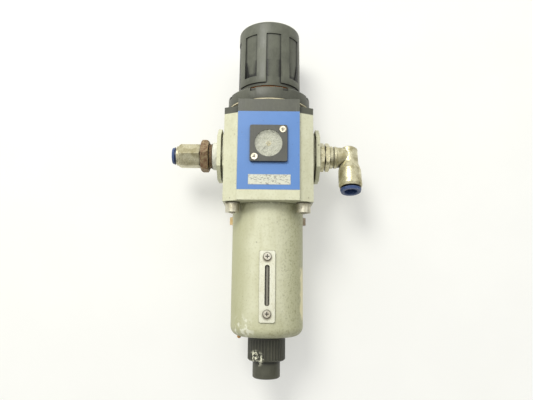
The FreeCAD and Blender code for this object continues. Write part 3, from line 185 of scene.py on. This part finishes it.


# Painted casting: cloudy yellowing, dark specks, worn edges, and grime with painted shade darkening corners
# and grooves.
def creamCoat(net, grime, streak):
    cloud = net.noise(22, 4, 0.6).step(0.35, 0.72)
    streaks = net.noise(9, 3, 0.6, (1, 1, streak), (3, 1, 7)).step(0.42, 0.8)
    fine = net.noise(1.6, 3, 0.6)
    speckField = net.noise(17, 2, 0.5, (1, 1, 1), (9, 9, 2)).step(0.48, 0.66)
    specks = net.cells(5.2, (1, 1, 0.8)).step(0.17, 0.06) * speckField
    dotField = net.noise(11, 2, 0.5, (1, 1, 1), (2, 7, 4)).step(0.5, 0.66)
    dots = net.cells(2.1, (1, 1, 1), (5, 0, 3)).step(0.18, 0.06) * dotField
    wear = net.edge(0.8) * net.noise(2.6, 4, 0.7, (1, 1, 1), (1, 8, 3)).step(0.45, 0.6)
    # Grime and painted shade: ambient occlusion darkens corners and grooves, broken up by noise.
    grooveGrimeAndShade = net.hollow(5.0) * net.noise(1.8, 4, 0.65, (1, 1, 1), (4, 4, 1)).step(0.3, 0.62)
    shade = net.mix(cloud * 0.45, paint["cream"], paint["pale"])
    shade = net.mix(streaks * grime, shade, paint["stain"])
    shade = net.mix(fine.step(0.48, 0.72) * 0.34, shade, paint["stain"])
    shade = net.mix(specks.bigger(dots) * 0.7, shade, paint["dirt"])
    shade = net.mix(wear * 0.8, shade, paint["metal"])
    shade = net.mix(grooveGrimeAndShade * 0.72, shade, paint["dirt"])
    rough = 0.40 + cloud * 0.14 + streaks * 0.1 - wear * 0.1
    height = fine * 0.5 + net.noise(0.5, 2, 0.5) * 0.5
    return shade, rough, height, wear


# Casting paint: the plain coat.
def castingPaint():
    net = Net("castingPaint")
    shade, rough, height, wear = creamCoat(net, 0.30, 0.35)
    return net.finish(Base_Color=shade, Roughness=rough, Normal=net.bump(height, 0.10), Metallic=wear * 0.5)


# Millimetres along X or Z: where each mark on the bowl begins and where it is full.
bowlMarks = {"dirtySide": (2, 27), "shadeRight": (6, 25), "shadeLeft": (-9, -24), "shadeFoot": (-112, -138),
             "glueEdge": (27.0, 28.4), "glueFoot": (-124, -118), "glueTop": (-80, -88), "glueBack": (6, 1),
             "brownFoot": (-128, -141), "chalkPlace": (-17, -19, -136), "chalkReach": 13}


# Bowl paint: the casting's coat, with a dirty side, a dried glue run, chalky scuffs near the foot, and
# painted shade darkening both sides and the foot.
def bowlPaint():
    net = Net("bowlPaint")
    shade, rough, height, wear = creamCoat(net, 0.42, 0.22)
    across = net.axis("X")
    up = net.axis("Z")
    side = across.step(*bowlMarks["dirtySide"])
    side = side * net.noise(1.3, 4, 0.7, (1, 1, 0.7), (7, 7, 7)).step(0.52, 0.64)
    shade = net.mix(side * 0.85, shade, paint["dirt"])
    # Painted shade: the bowl darkens towards its left and right edges and towards its foot.
    sideShade = across.step(*bowlMarks["shadeRight"]).bigger(across.step(*bowlMarks["shadeLeft"]))
    sideShade = sideShade.bigger(up.step(*bowlMarks["shadeFoot"]) * 0.6)
    shade = net.mix(sideShade * 0.70, shade, paint["sideShade"])
    level = up + net.noise(6, 3, 0.6, (1, 1, 1), (5, 1, 1)) * 16
    run = (across + net.noise(9, 3, 0.6) * 5).step(*bowlMarks["glueEdge"])
    run = run * level.step(*bowlMarks["glueFoot"]) * level.step(*bowlMarks["glueTop"])
    run = run * net.axis("Y").step(*bowlMarks["glueBack"])
    shade = net.mix(run * 0.9, shade, paint["glue"])
    foot = net.near(bowlMarks["chalkPlace"], bowlMarks["chalkReach"])
    foot = foot * net.noise(4.6, 3, 0.6, (1, 1, 1), (3, 9, 1)).step(0.50, 0.60)
    shade = net.mix(foot * 0.6, shade, paint["chalk"])
    brown = up.step(*bowlMarks["brownFoot"]) * net.noise(2.2, 4, 0.7, (1, 1, 1), (1, 1, 6)).step(0.5, 0.66)
    shade = net.mix(brown * 0.5, shade, paint["brown"])
    return net.finish(Base_Color=shade, Roughness=rough, Metallic=wear * 0.5,
                      Normal=net.bump(height * 0.7 + run * 0.3, 0.12))


# Printed plate: even blue with fine dark grain, scuffs, a paler rubbed rim and painted shade in the corners
# round the gauge.
def bluePlate():
    net = Net("blueSheet")
    cloud = net.noise(14, 3, 0.5)
    scuff = net.noise(4, 5, 0.7, (1, 1, 3), (2, 2, 2)).step(0.62, 0.72)
    rim = net.edge(0.5)
    grain = net.cells(0.9).step(0.32, 0.12)
    speck = net.cells(3.4, (1, 1, 1), (2, 2, 5)).step(0.14, 0.05)
    shade = net.mix(cloud, (0.082, 0.200, 0.475), (0.098, 0.235, 0.55))
    shade = net.mix(scuff * 0.22, shade, (0.40, 0.50, 0.68))
    shade = net.mix(grain * 0.14, shade, (0.05, 0.10, 0.26))
    shade = net.mix(speck * 0.5, shade, (0.03, 0.05, 0.12))
    shade = net.mix(rim * 0.4, shade, (0.40, 0.46, 0.55))
    # Painted shade: ambient occlusion darkens the corners round the gauge.
    shade = net.mix(net.hollow(2.0, 0.85, 0.5) * 0.7, shade, (0.05, 0.07, 0.11))
    return net.finish(Base_Color=shade, Roughness=0.42 + scuff * 0.2, Normal=net.bump(grain, 0.03))


# Places, reaches and levels in millimetres.
chipSet = {"place": (-8, -12, -158), "reach": 7.5, "colour": (0.78, 0.77, 0.60)}
knobFeet = {"low": 60.2, "high": 74.2, "reach": 4.5}


# Moulded plastic gone grey: dusty film, fine scratches, paler edges and painted shade in the grooves. The
# knob's panels get a painted shadow between two levels at their feet, and the drain has a pale chip.
def blackPlastic(name, dark, light, hollowShade=0.75, chip=None, feet=None):
    net = Net(name)
    film = net.noise(13, 4, 0.6).step(0.3, 0.75)
    dust = net.noise(1.3, 4, 0.65, (1, 1, 0.5))
    scratch = net.noise(0.9, 2, 0.5, (1.0, 1.0, 0.06), (4, 4, 4)).step(0.60, 0.72)
    pits = net.cells(1.5, (1, 1, 1), (1, 3, 5)).step(0.14, 0.05)
    rim = net.edge(0.45) * net.noise(1.8, 3, 0.6).step(0.4, 0.62)
    shade = net.mix(film, dark, light)
    shade = net.mix(dust.step(0.45, 0.8) * 0.25, shade, tuple(1.5 * c for c in light))
    shade = net.mix(scratch * 0.18, shade, tuple(1.8 * c for c in light))
    shade = net.mix(pits * 0.3, shade, tuple(0.4 * c for c in dark))
    shade = net.mix(rim * 0.45, shade, tuple(1.9 * c for c in light))
    # Painted shade: ambient occlusion darkens grooves and recesses.
    shade = net.mix(net.hollow(3.0, 0.97, 0.74) * hollowShade, shade, tuple(0.14 * c for c in dark))
    if feet:
        # Painted shadow: the recesses at the knob panels' feet go nearly black between two levels.
        low, high = feet["low"], feet["high"]
        level = net.axis("Z").step(low - 0.8, low - 0.3) * net.axis("Z").step(high + 0.4, high)
        footShadow = net.hollow(feet["reach"], 0.985, 0.90) * level
        shade = net.mix(footShadow, shade, tuple(0.1 * c for c in dark))
    if chip:
        patch = net.near(chip["place"], chip["reach"])
        patch = patch * net.noise(3.0, 4, 0.65, (1, 1, 1), (5, 2, 8)).step(0.51, 0.55)
        shade = net.mix(patch * 0.95, shade, chip["colour"])
    return net.finish(Base_Color=shade, Roughness=0.40 + film * 0.16, Normal=net.bump(dust, 0.035))


# Plated or bare metal: brushed grain, tarnish clouds, stain in pits, rubbed edges and painted shade in
# corners.
def metalFinish(name, bright, dull, stain, rough, stainShare, metallic=0.9, hollowShade=0.85,
                streak=(1, 0.15, 0.15), patches=()):
    net = Net(name)
    cloud = net.noise(7, 4, 0.6).step(0.35, 0.7)
    grain = net.noise(0.35, 2, 0.5, streak)
    rust = net.noise(2.6, 5, 0.72, (1, 1, 1), (6, 2, 1)).step(0.62 - 0.25 * stainShare, 0.72)
    pits = net.cells(1.1, (1, 1, 1), (2, 5, 1)).step(0.24, 0.08) * net.noise(4, 2, 0.5).step(0.45, 0.6)
    # Painted shade: ambient occlusion darkens corners and recesses and lowers the metallic there.
    dark = net.hollow(2.4, 0.93, 0.60)
    shade = net.mix(cloud, bright, dull)
    shade = net.mix(rust * stainShare, shade, stain)
    shade = net.mix(pits * 0.8, shade, tuple(0.35 * c for c in stain))
    shade = net.mix(grain.step(0.5, 0.7) * 0.25, shade, stain)
    shade = net.mix(net.edge(0.35) * 0.35, shade, bright)
    for place, reach, colour in patches:
        shade = net.mix(net.near(place, reach) * 0.8, shade, colour)
    shade = net.mix(dark * hollowShade, shade, tuple(0.2 * c for c in stain))
    return net.finish(Base_Color=shade, Metallic=metallic - rust * 0.65 * stainShare - dark * 0.5 * metallic,
                      Roughness=rough + rust * 0.3 + cloud * 0.12,
                      Normal=net.bump(grain * 0.5 + rust * 0.5, 0.04 + 0.16 * stainShare))


# Small moulded or rubber parts: one colour with slight mottling and dust.
def plainMoulded(name, colour, rough, mottling=0.12, bumpDepth=0.02):
    net = Net(name)
    cloud = net.noise(3.5, 4, 0.6)
    paler = tuple(min(1.0, 0.12 + 1.3 * c) for c in colour)
    shade = net.mix(cloud.step(0.35, 0.7) * mottling, colour, paler)
    return net.finish(Base_Color=shade, Roughness=rough + cloud * 0.15,
                      Normal=net.bump(net.noise(0.6, 3), bumpDepth))


# Clouded clear plastic: part of it lets the piece behind through, the rest is a scratched pale haze.
def clearPlastic(name, tint, haze, rough, grit):
    net = Net(name)
    patch = net.noise(2.2, 5, 0.7).step(0.35, 0.72)
    specks = net.cells(0.8, (1, 1, 1), (3, 1, 2)).step(0.32, 0.1)
    shade = net.mix(specks * 0.45, tint, tuple(0.40 * c for c in tint))
    alpha = haze + patch * grit + specks * 0.25
    return net.finish(Base_Color=shade, Roughness=rough + patch * 0.2, Alpha=alpha,
                      Normal=net.bump(patch, 0.02))


# Sight glass gone brown, with a paler line of light down its middle.
def sightTube():
    net = Net("sightClear")
    across = net.axis("X") + net.noise(2.0, 3, 0.6) * 0.5 - 0.25
    middle = across.step(-1.0, -0.3) * across.step(1.0, 0.3)
    grime = net.noise(1.2, 4, 0.7, (1, 1, 0.5)).step(0.4, 0.7)
    shade = net.mix(middle, (0.050, 0.048, 0.034), (0.31, 0.30, 0.25))
    shade = net.mix(grime * 0.35, shade, (0.16, 0.14, 0.09))
    return net.finish(Base_Color=shade, Roughness=0.25 + grime * 0.2, Alpha=0.9 - middle * 0.1,
                      Normal=net.bump(grime, 0.02))


# Corroded bushing: dark brown crust over dull brass that shows on the high spots.
def rustyBrass():
    net = Net("rustyBrass")
    crust = net.noise(2.4, 5, 0.7).step(0.36, 0.62)
    coarse = net.noise(6, 3, 0.6, (1, 1, 1), (4, 2, 1)).step(0.4, 0.65)
    grit = net.noise(0.6, 3, 0.7)
    rim = net.edge(0.6) * net.noise(1.5, 3, 0.6, (1, 1, 1), (8, 1, 1)).step(0.42, 0.6)
    shade = net.mix(crust, (0.36, 0.28, 0.16), (0.135, 0.068, 0.032))
    shade = net.mix(coarse * 0.45, shade, (0.18, 0.10, 0.05))
    shade = net.mix(grit.step(0.5, 0.75) * 0.4, shade, (0.30, 0.18, 0.095))
    shade = net.mix(rim * 0.7, shade, (0.56, 0.50, 0.36))
    shade = net.mix(net.hollow(2.4, 0.86, 0.5) * 0.8, shade, (0.025, 0.016, 0.010))
    return net.finish(Base_Color=shade, Metallic=0.45 - crust * 0.4, Roughness=0.42 + crust * 0.35,
                      Normal=net.bump(crust * 0.4 + grit * 0.6, 0.14))


# Dial face: off-white, blotched by damp.
def dialPaper():
    net = Net("dialPaper")
    blot = net.noise(3.0, 5, 0.7).step(0.45, 0.65)
    fine = net.cells(0.6).step(0.35, 0.1)
    shade = net.mix(blot * 0.6, (0.70, 0.70, 0.60), (0.38, 0.38, 0.31))
    shade = net.mix(fine * 0.3, shade, (0.25, 0.25, 0.21))
    return net.finish(Base_Color=shade, Roughness=0.55 + blot * 0.1)


# Pointer: dark arm, and a cream cap within a short reach of its axle.
def needlePaint():
    net = Net("needlePaint")
    low, high = (Vector(corner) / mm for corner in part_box("gauge_dial"))
    axle = ((low.x + high.x) / 2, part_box("gauge_pointer")[0][1] / mm, (low.z + high.z) / 2)
    shade = net.mix(net.near(axle, 3.2), (0.12, 0.11, 0.085), (0.95, 0.86, 0.56))
    return net.finish(Base_Color=shade, Roughness=0.4)


# Blank sticker: off-white, scratched dark in places, yellowed and dirty at its rim.
def stickerPaper():
    net = Net("stickerPaper")
    scuff = net.noise(2.0, 5, 0.7, (0.6, 1, 2.0)).step(0.50, 0.66)
    dirt = net.noise(1.0, 5, 0.75, (0.5, 1, 1.2)).step(0.53, 0.57)
    patch = net.noise(6, 3, 0.6, (0.6, 1, 1), (0, 0, 3)).step(0.40, 0.50)
    shade = net.mix(scuff * 0.35, (0.62, 0.63, 0.52), (0.42, 0.42, 0.34))
    shade = net.mix(dirt * patch * 0.9, shade, (0.13, 0.12, 0.10))
    shade = net.mix(net.edge(0.5) * 0.4, shade, (0.30, 0.29, 0.22))
    return net.finish(Base_Color=shade, Roughness=0.45 + scuff * 0.2, Normal=net.bump(scuff, 0.02))


# Release sleeve: dark blue plastic, white scratches on its rim, grey dust and painted shade in its hollows.
def sleevePlastic():
    net = Net("sleevePlastic")
    scrape = net.noise(1.3, 5, 0.75, (1, 1, 1), (2, 5, 3)).step(0.58, 0.64)
    dust = net.noise(3.0, 3, 0.6)
    shade = net.mix(dust, (0.018, 0.040, 0.125), (0.045, 0.090, 0.24))
    shade = net.mix(net.edge(0.5) * 0.5, shade, (0.14, 0.22, 0.42))
    shade = net.mix(scrape * 0.5, shade, (0.42, 0.46, 0.52))
    # Painted shade: ambient occlusion darkens the sleeve's hollows to near black.
    shade = net.mix(net.hollow(3.0, 0.8, 0.4) * 0.85, shade, (0.004, 0.006, 0.012))
    return net.finish(Base_Color=shade, Roughness=0.28 + dust * 0.2, Normal=net.bump(scrape, 0.03))


# Painted shade in the countersinks round the two screws of the sight plate: place, reach and colour.
screwRingShade = (((0, -29, -83.8), 4.3, (0.13, 0.10, 0.06)), ((0, -29, -125), 4.3, (0.13, 0.10, 0.06)))
# Rear bolt heads, left and right: place, reach and colour.
boltPatches = (((-27, 27, -52), 12, (0.80, 0.52, 0.16)), ((27, 27, -52), 12, (0.20, 0.11, 0.05)))
materials = {
    "castingPaint": castingPaint(),
    "bowlPaint": bowlPaint(),
    "blueSheet": bluePlate(),
    "knobPlastic": blackPlastic("knobPlastic", (0.078, 0.082, 0.060), (0.125, 0.131, 0.098), 0.95,
                                feet=knobFeet),
    "bonnetPlastic": blackPlastic("bonnetPlastic", (0.062, 0.064, 0.047), (0.095, 0.098, 0.073)),
    "drainPlastic": blackPlastic("drainPlastic", (0.040, 0.040, 0.026), (0.074, 0.074, 0.050), 0.6, chipSet),
    "bezelPlastic": blackPlastic("bezelPlastic", (0.052, 0.053, 0.043), (0.085, 0.086, 0.070), 0.6),
    "orangePlastic": plainMoulded("orangePlastic", (0.90, 0.30, 0.04), 0.4),
    "paleFibre": plainMoulded("paleFibre", (0.58, 0.52, 0.35), 0.6, 0.4),
    "dialPaper": dialPaper(),
    "lensClear": clearPlastic("lensClear", (0.62, 0.63, 0.52), 0.20, 0.22, 0.30),
    "sightClear": sightTube(),
    "needlePaint": needlePaint(),
    "dialInk": plainMoulded("dialInk", (0.10, 0.10, 0.09), 0.6),
    "resin": plainMoulded("resin", (0.45, 0.24, 0.07), 0.2, 0.3),
    "stickerPaper": stickerPaper(),
    "screwZinc": metalFinish("screwZinc", (0.86, 0.82, 0.70), (0.58, 0.53, 0.40), (0.09, 0.06, 0.03), 0.26,
                             0.32, 0.9, 1.0),
    "boltZinc": metalFinish("boltZinc", (0.68, 0.65, 0.52), (0.46, 0.43, 0.31), (0.15, 0.10, 0.05), 0.32,
                            0.45, 0.8, 0.85, (1, 1, 0.08), boltPatches),
    "nickel": metalFinish("nickel", (0.74, 0.70, 0.49), (0.38, 0.34, 0.19), (0.085, 0.060, 0.022), 0.25,
                          0.50, 0.72),
    "turnedMetal": metalFinish("turnedMetal", (0.72, 0.72, 0.70), (0.58, 0.58, 0.55), (0.40, 0.36, 0.28),
                               0.32, 0.1),
    "springWire": metalFinish("springWire", (0.50, 0.50, 0.50), (0.36, 0.36, 0.36), (0.20, 0.16, 0.12), 0.35,
                              0.15),
    "sightMetal": metalFinish("sightMetal", (0.80, 0.80, 0.66), (0.70, 0.69, 0.54), (0.34, 0.28, 0.15), 0.36,
                              0.2, 0.45, patches=screwRingShade),
    "rustyBrass": rustyBrass(),
    "blackRubber": plainMoulded("blackRubber", (0.02, 0.02, 0.02), 0.6, 0.3),
    "sinteredWhite": plainMoulded("sinteredWhite", (0.80, 0.79, 0.74), 0.8, 0.2, 0.15),
    "innerPlastic": plainMoulded("innerPlastic", (0.62, 0.61, 0.55), 0.45),
    "sleevePlastic": sleevePlastic(),
    "sealTape": plainMoulded("sealTape", (0.66, 0.66, 0.57), 0.55, 0.3, 0.25),
}
wearers = {
    "castingPaint": ["body_casting"], "bowlPaint": ["bowl"], "blueSheet": ["front_plate", "rear_plate"],
    "knobPlastic": ["knob"], "bonnetPlastic": ["bonnet", "panel_nut"],
    "drainPlastic": ["drain_collar", "drain_retainer", "drain_knob"], "bezelPlastic": ["gauge_bezel"],
    "orangePlastic": ["lock_ring"], "paleFibre": ["panel_nut_washer"], "dialPaper": ["gauge_dial"],
    "lensClear": ["gauge_lens"], "sightClear": ["sight_glass"], "needlePaint": ["gauge_pointer"],
    "stickerPaper": ["data_label"], "screwZinc": ["gauge_screws", "sight_screws", "rear_plate_screws"],
    "boltZinc": ["body_bolts", "bolt_washers"],
    "nickel": ["inlet_connector", "outlet_adapter", "outlet_elbow"],
    "turnedMetal": ["gauge_movement", "adjusting_screw", "spring_seat", "diaphragm_plate", "diaphragm_disc",
                    "valve_seat", "valve_stem"],
    "springWire": ["pressure_spring", "valve_spring", "inlet_collet", "outlet_collet"],
    "sightMetal": ["sight_plate"], "rustyBrass": ["inlet_bushing"],
    "blackRubber": ["rear_plate_seal", "gauge_seal", "diaphragm", "valve_guide_seal", "bowl_seal",
                    "sight_gasket", "drain_collar_seal", "drain_pin_seal", "inlet_tube_seal",
                    "outlet_tube_seal", "swivel_seal"],
    "sinteredWhite": ["filter_element"], "sleevePlastic": ["inlet_release_sleeve", "outlet_release_sleeve"],
    "innerPlastic": ["valve_guide", "swirl_deflector", "baffle", "drain_pin"], "sealTape": ["thread_tape"],
}
for look, wearing in wearers.items():
    setMaterial(materials[look], wearing)
print("materials set on", sum(len(wearing) for wearing in wearers.values()), "nodes")


# Corners closer than weldReach millimetres are joined; edges sharper than sharpest degrees are rounded.
edgeSet = {"weldReach": 0.01, "sharpest": 34, "segments": 2}
# Bevel width of each softened node, in millimetres.
softEdges = {"body_casting": 0.7, "bonnet": 0.5, "panel_nut": 0.4, "front_plate": 0.12, "gauge_bezel": 0.3,
             "inlet_bushing": 0.3, "inlet_connector": 0.3, "outlet_adapter": 0.25, "bolt_washers": 0.2,
             "sight_plate": 0.3, "knob": 0.25}
for name, width in softEdges.items():
    piece = nodes[name]
    weld = piece.modifiers.new("weld", "WELD")
    weld.merge_threshold = edgeSet["weldReach"] * mm
    rounding = piece.modifiers.new("soft edges", "BEVEL")
    rounding.limit_method = "ANGLE"
    rounding.angle_limit = math.radians(edgeSet["sharpest"])
    rounding.width = width * mm
    rounding.segments = edgeSet["segments"]
    rounding.use_clamp_overlap = True


# Puts a new piece in the scene: corners and faces, the body it moves with and the slot its finish comes from.
def addPiece(name, corners, faces, body, look, smooth=False):
    mesh = bpy.data.meshes.new(name)
    mesh.from_pydata([tuple(c) for c in corners.tolist()], [], faces.tolist())
    mesh.polygons.foreach_set("use_smooth", np.full(len(faces), smooth))
    mesh.update()
    mesh.materials.append(materials[look])
    piece = bpy.data.objects.new(name, mesh)
    bpy.context.scene.collection.objects.link(piece)
    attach(piece, body)
    return piece


# Faces of a tube of rows by columns of corners: each corner with the next round and the two above them.
def sheetFaces(rows, columns):
    down, across = np.meshgrid(np.arange(rows - 1), np.arange(columns), indexing="ij")
    right = (across + 1) % columns
    faces = np.stack([down * columns + across, down * columns + right,
                      (down + 1) * columns + right, (down + 1) * columns + across], axis=-1)
    return faces.reshape(-1, 4)


dialSet = {"lift": 0.04, "scaleOuter": 8.7, "long": 1.7, "short": 0.9, "wide": 0.28, "sweep": 270,
           "majors": 11, "minors": 41}


# Scale of the gauge: marks at even angles over the sweep, each a flat strip from its inner to its outer
# radius.
def makeDialPrint():
    low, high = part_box("gauge_dial")
    face = low[1] / mm - dialSet["lift"]
    centre = (low[2] + high[2]) / 2 / mm
    angles, inner, wide = [], [], []
    for count, length, width in ((dialSet["majors"], dialSet["long"], dialSet["wide"]),
                                 (dialSet["minors"], dialSet["short"], dialSet["wide"] * 0.5)):
        turn = np.radians(np.linspace(-dialSet["sweep"] / 2, dialSet["sweep"] / 2, count))
        angles.append(turn)
        inner.append(np.full(count, dialSet["scaleOuter"] - length))
        wide.append(np.full(count, width))
    angles, inner, wide = np.concatenate(angles), np.concatenate(inner), np.concatenate(wide)
    outward = np.stack([np.sin(angles), np.cos(angles)], axis=-1)
    aside = np.stack([np.cos(angles), -np.sin(angles)], axis=-1)
    near, far = outward * inner[:, None], outward * dialSet["scaleOuter"]
    half = aside * wide[:, None] / 2
    flat = np.stack([near - half, far - half, far + half, near + half], axis=1).reshape(-1, 2)
    corners = np.stack([flat[:, 0], np.full(len(flat), face), flat[:, 1] + centre], axis=-1) * mm
    addPiece("dial_scale", corners, np.arange(len(flat)).reshape(-1, 4), "housing", "dialInk")


beadSet = {"place": (-20.8, -9.0, -142.0), "size": (1.5, 1.4, 1.4), "rows": 10, "columns": 20, "pole": 0.05}


# Dried bead of sealant on the bowl's lower left edge: an ellipsoid from two angles.
def makeBead():
    rows, columns, pole = beadSet["rows"], beadSet["columns"], beadSet["pole"]
    tilt = np.linspace(pole, np.pi - pole, rows)[:, None]
    turn = np.linspace(0, 2 * np.pi, columns, endpoint=False)
    unit = np.stack([np.sin(tilt) * np.cos(turn), np.sin(tilt) * np.sin(turn),
                     np.cos(tilt) * np.ones_like(turn)], axis=-1).reshape(-1, 3)
    corners = (unit * beadSet["size"] + beadSet["place"]) * mm
    addPiece("sealant_bead", corners, sheetFaces(rows, columns), "housing", "resin", True)


tapeSet = {"strips": 7, "columns": 96, "thick": 0.22, "tear": 1.5, "rise": 0.30, "inLeft": 0.3,
           "inRight": 0.2, "roll": 31, "wave": 0.10, "curl": 0.18}


# Torn thread tape: a loose turn over the wound tape. Its edges wander by a sum of three sines of the
# angle, and its radius is the tape's plus a ripple, less a curl that grows as a cube towards the edges.
def makeTape():
    low, high = (np.array(corner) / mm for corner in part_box("thread_tape"))
    turn = np.linspace(0, 2 * np.pi, tapeSet["columns"], endpoint=False)
    radius = (high[2] - low[2]) / 2 + tapeSet["rise"]
    ragged = np.sin(5 * turn + 0.6) + 0.7 * np.sin(13 * turn) + 0.5 * np.sin(29 * turn + 2)
    ragged = tapeSet["tear"] * ragged / 2.2
    left = low[0] + tapeSet["inLeft"] + np.clip(ragged, -0.2, 1.4)
    right = high[0] - tapeSet["inRight"] - np.clip(np.roll(ragged, tapeSet["roll"]), 0.0, 1.2)
    share = np.linspace(0, 1, tapeSet["strips"])[:, None]
    x = left * (1 - share) + right * share
    wave = radius + tapeSet["wave"] * np.sin(17 * turn + 6 * share)
    wave = wave - tapeSet["curl"] * np.abs(2 * share - 1) ** 3
    corners = np.stack([x, wave * np.cos(turn), wave * np.sin(turn)], axis=-1).reshape(-1, 3) * mm
    piece = addPiece("torn_tape", corners, sheetFaces(tapeSet["strips"], tapeSet["columns"]), "housing",
                     "sealTape", True)
    body = piece.modifiers.new("thickness", "SOLIDIFY")
    body.thickness = tapeSet["thick"] * mm
    body.offset = 0


makeDialPrint()
makeBead()
makeTape()
print("dial scale, bead and tape added")


stageSet = {"backdropY": 0.0392, "size": 1.4, "colour": (0.56, 0.56, 0.53), "glow": 0.33,
            "cloudSize": 60, "cloudColour": (0.80, 0.80, 0.76), "rough": 0.85}


# The pale sheet the unit lies on, behind it; it only shows from the front.
def makeBackdrop():
    half = stageSet["size"] / 2
    y = stageSet["backdropY"]
    mesh = bpy.data.meshes.new("backdrop")
    corners = [(-half, y, -half), (half, y, -half), (half, y, half), (-half, y, half)]
    mesh.from_pydata(corners, [], [(0, 1, 2, 3)])
    piece = bpy.data.objects.new("backdrop", mesh)
    bpy.context.scene.collection.objects.link(piece)
    net = Net("backdropPaper")
    cloud = net.noise(stageSet["cloudSize"], 3, 0.5)
    shade = net.mix(cloud.step(0.4, 0.7) * 0.05, stageSet["colour"], stageSet["cloudColour"])
    surface = net.node("ShaderNodeBsdfPrincipled", None,
                       {"Base Color": shade, "Roughness": stageSet["rough"],
                        "Emission Color": (1.0, 1.0, 0.985), "Emission Strength": stageSet["glow"]})
    clear = net.node("ShaderNodeBsdfTransparent")
    behind = net.node("ShaderNodeNewGeometry").outputs["Backfacing"]
    both = net.node("ShaderNodeMixShader", None, {0: behind, 1: surface.outputs[0], 2: clear.outputs[0]})
    net.node("ShaderNodeOutputMaterial", None, {"Surface": both.outputs[0]})
    mesh.materials.append(net.material)


# A round lamp aimed from its place at a target.
def areaLight(name, place, target, size, power, colour=(1, 1, 1)):
    lamp = bpy.data.lights.new(name, "AREA")
    lamp.shape = "DISK"
    lamp.size = size
    lamp.energy = power
    lamp.color = colour
    piece = bpy.data.objects.new(name, lamp)
    piece.location = place
    piece.rotation_mode = "QUATERNION"
    piece.rotation_quaternion = (Vector(target) - Vector(place)).to_track_quat("-Z", "Y")
    bpy.context.scene.collection.objects.link(piece)


lightSet = {"dim": (0.16, 0.16, 0.15), "bright": (0.92, 0.92, 0.90), "toward": (-0.40, -0.50, 0.75),
            "spread": (-0.65, 0.75)}
# Name, place, target, size in metres, power in watts, and a colour if it isn't white.
lamps = (("keyLight", (-0.30, -0.85, 0.50), (0, 0, -0.03), 0.45, 7.0, (1.0, 0.99, 0.95)),
         ("fillLight", (0.70, -0.6, 0.1), (0, 0, -0.03), 0.8, 0.8),
         ("backLight", (0.1, 0.7, 0.5), (0, 0, 0), 0.6, 3.0))


# The room is bright from the upper left in front and dim from the lower right.
def makeLight():
    world = bpy.data.worlds.new("softStudio")
    world.use_nodes = True
    dim = world.node_tree.nodes["Background"]
    dim.inputs["Color"].default_value = (*lightSet["dim"], 1)
    tree = world.node_tree
    bright = tree.nodes.new("ShaderNodeBackground")
    bright.inputs["Color"].default_value = (*lightSet["bright"], 1)
    place = tree.nodes.new("ShaderNodeTexCoord")
    along = tree.nodes.new("ShaderNodeVectorMath")
    along.operation = "DOT_PRODUCT"
    along.inputs[1].default_value = Vector(lightSet["toward"]).normalized()
    spread = tree.nodes.new("ShaderNodeMapRange")
    spread.interpolation_type = "SMOOTHSTEP"
    spread.inputs["From Min"].default_value, spread.inputs["From Max"].default_value = lightSet["spread"]
    both = tree.nodes.new("ShaderNodeMixShader")
    tree.links.new(place.outputs["Generated"], along.inputs[0])
    tree.links.new(along.outputs["Value"], spread.inputs["Value"])
    tree.links.new(spread.outputs["Result"], both.inputs[0])
    tree.links.new(dim.outputs[0], both.inputs[1])
    tree.links.new(bright.outputs[0], both.inputs[2])
    tree.links.new(both.outputs[0], tree.nodes["World Output"].inputs["Surface"])
    bpy.context.scene.world = world
    for lamp in lamps:
        areaLight(*lamp)
    bpy.context.scene.view_settings.view_transform = "Standard"


cameraSet = {"distance": 0.385, "aimZ": -0.0359, "pitch": 9.7, "roll": 0.6, "lens": 32.08, "sensor": 36.0,
             "shiftX": -0.0028, "nearest": 0.01}


# Looks at the axis a little below the ports, from slightly nearer the drain end.
def makeCamera():
    lens = bpy.data.cameras.new("camera")
    lens.lens = cameraSet["lens"]
    lens.sensor_width = cameraSet["sensor"]
    lens.shift_x = cameraSet["shiftX"]
    lens.clip_start = cameraSet["nearest"]
    piece = bpy.data.objects.new("camera", lens)
    pitch = math.radians(cameraSet["pitch"])
    aim = Vector((0, 0, cameraSet["aimZ"]))
    away = Vector((0, -math.cos(pitch), -math.sin(pitch)))
    piece.location = aim + away * cameraSet["distance"]
    piece.rotation_mode = "QUATERNION"
    roll = Matrix.Rotation(math.radians(cameraSet["roll"]), 3, "Z").to_quaternion()
    piece.rotation_quaternion = (-away).to_track_quat("-Z", "Y") @ roll
    bpy.context.scene.collection.objects.link(piece)
    bpy.context.scene.camera = piece


makeCamera()
makeLight()
makeBackdrop()
print("camera, light and backdrop ready")

print("pieces done")
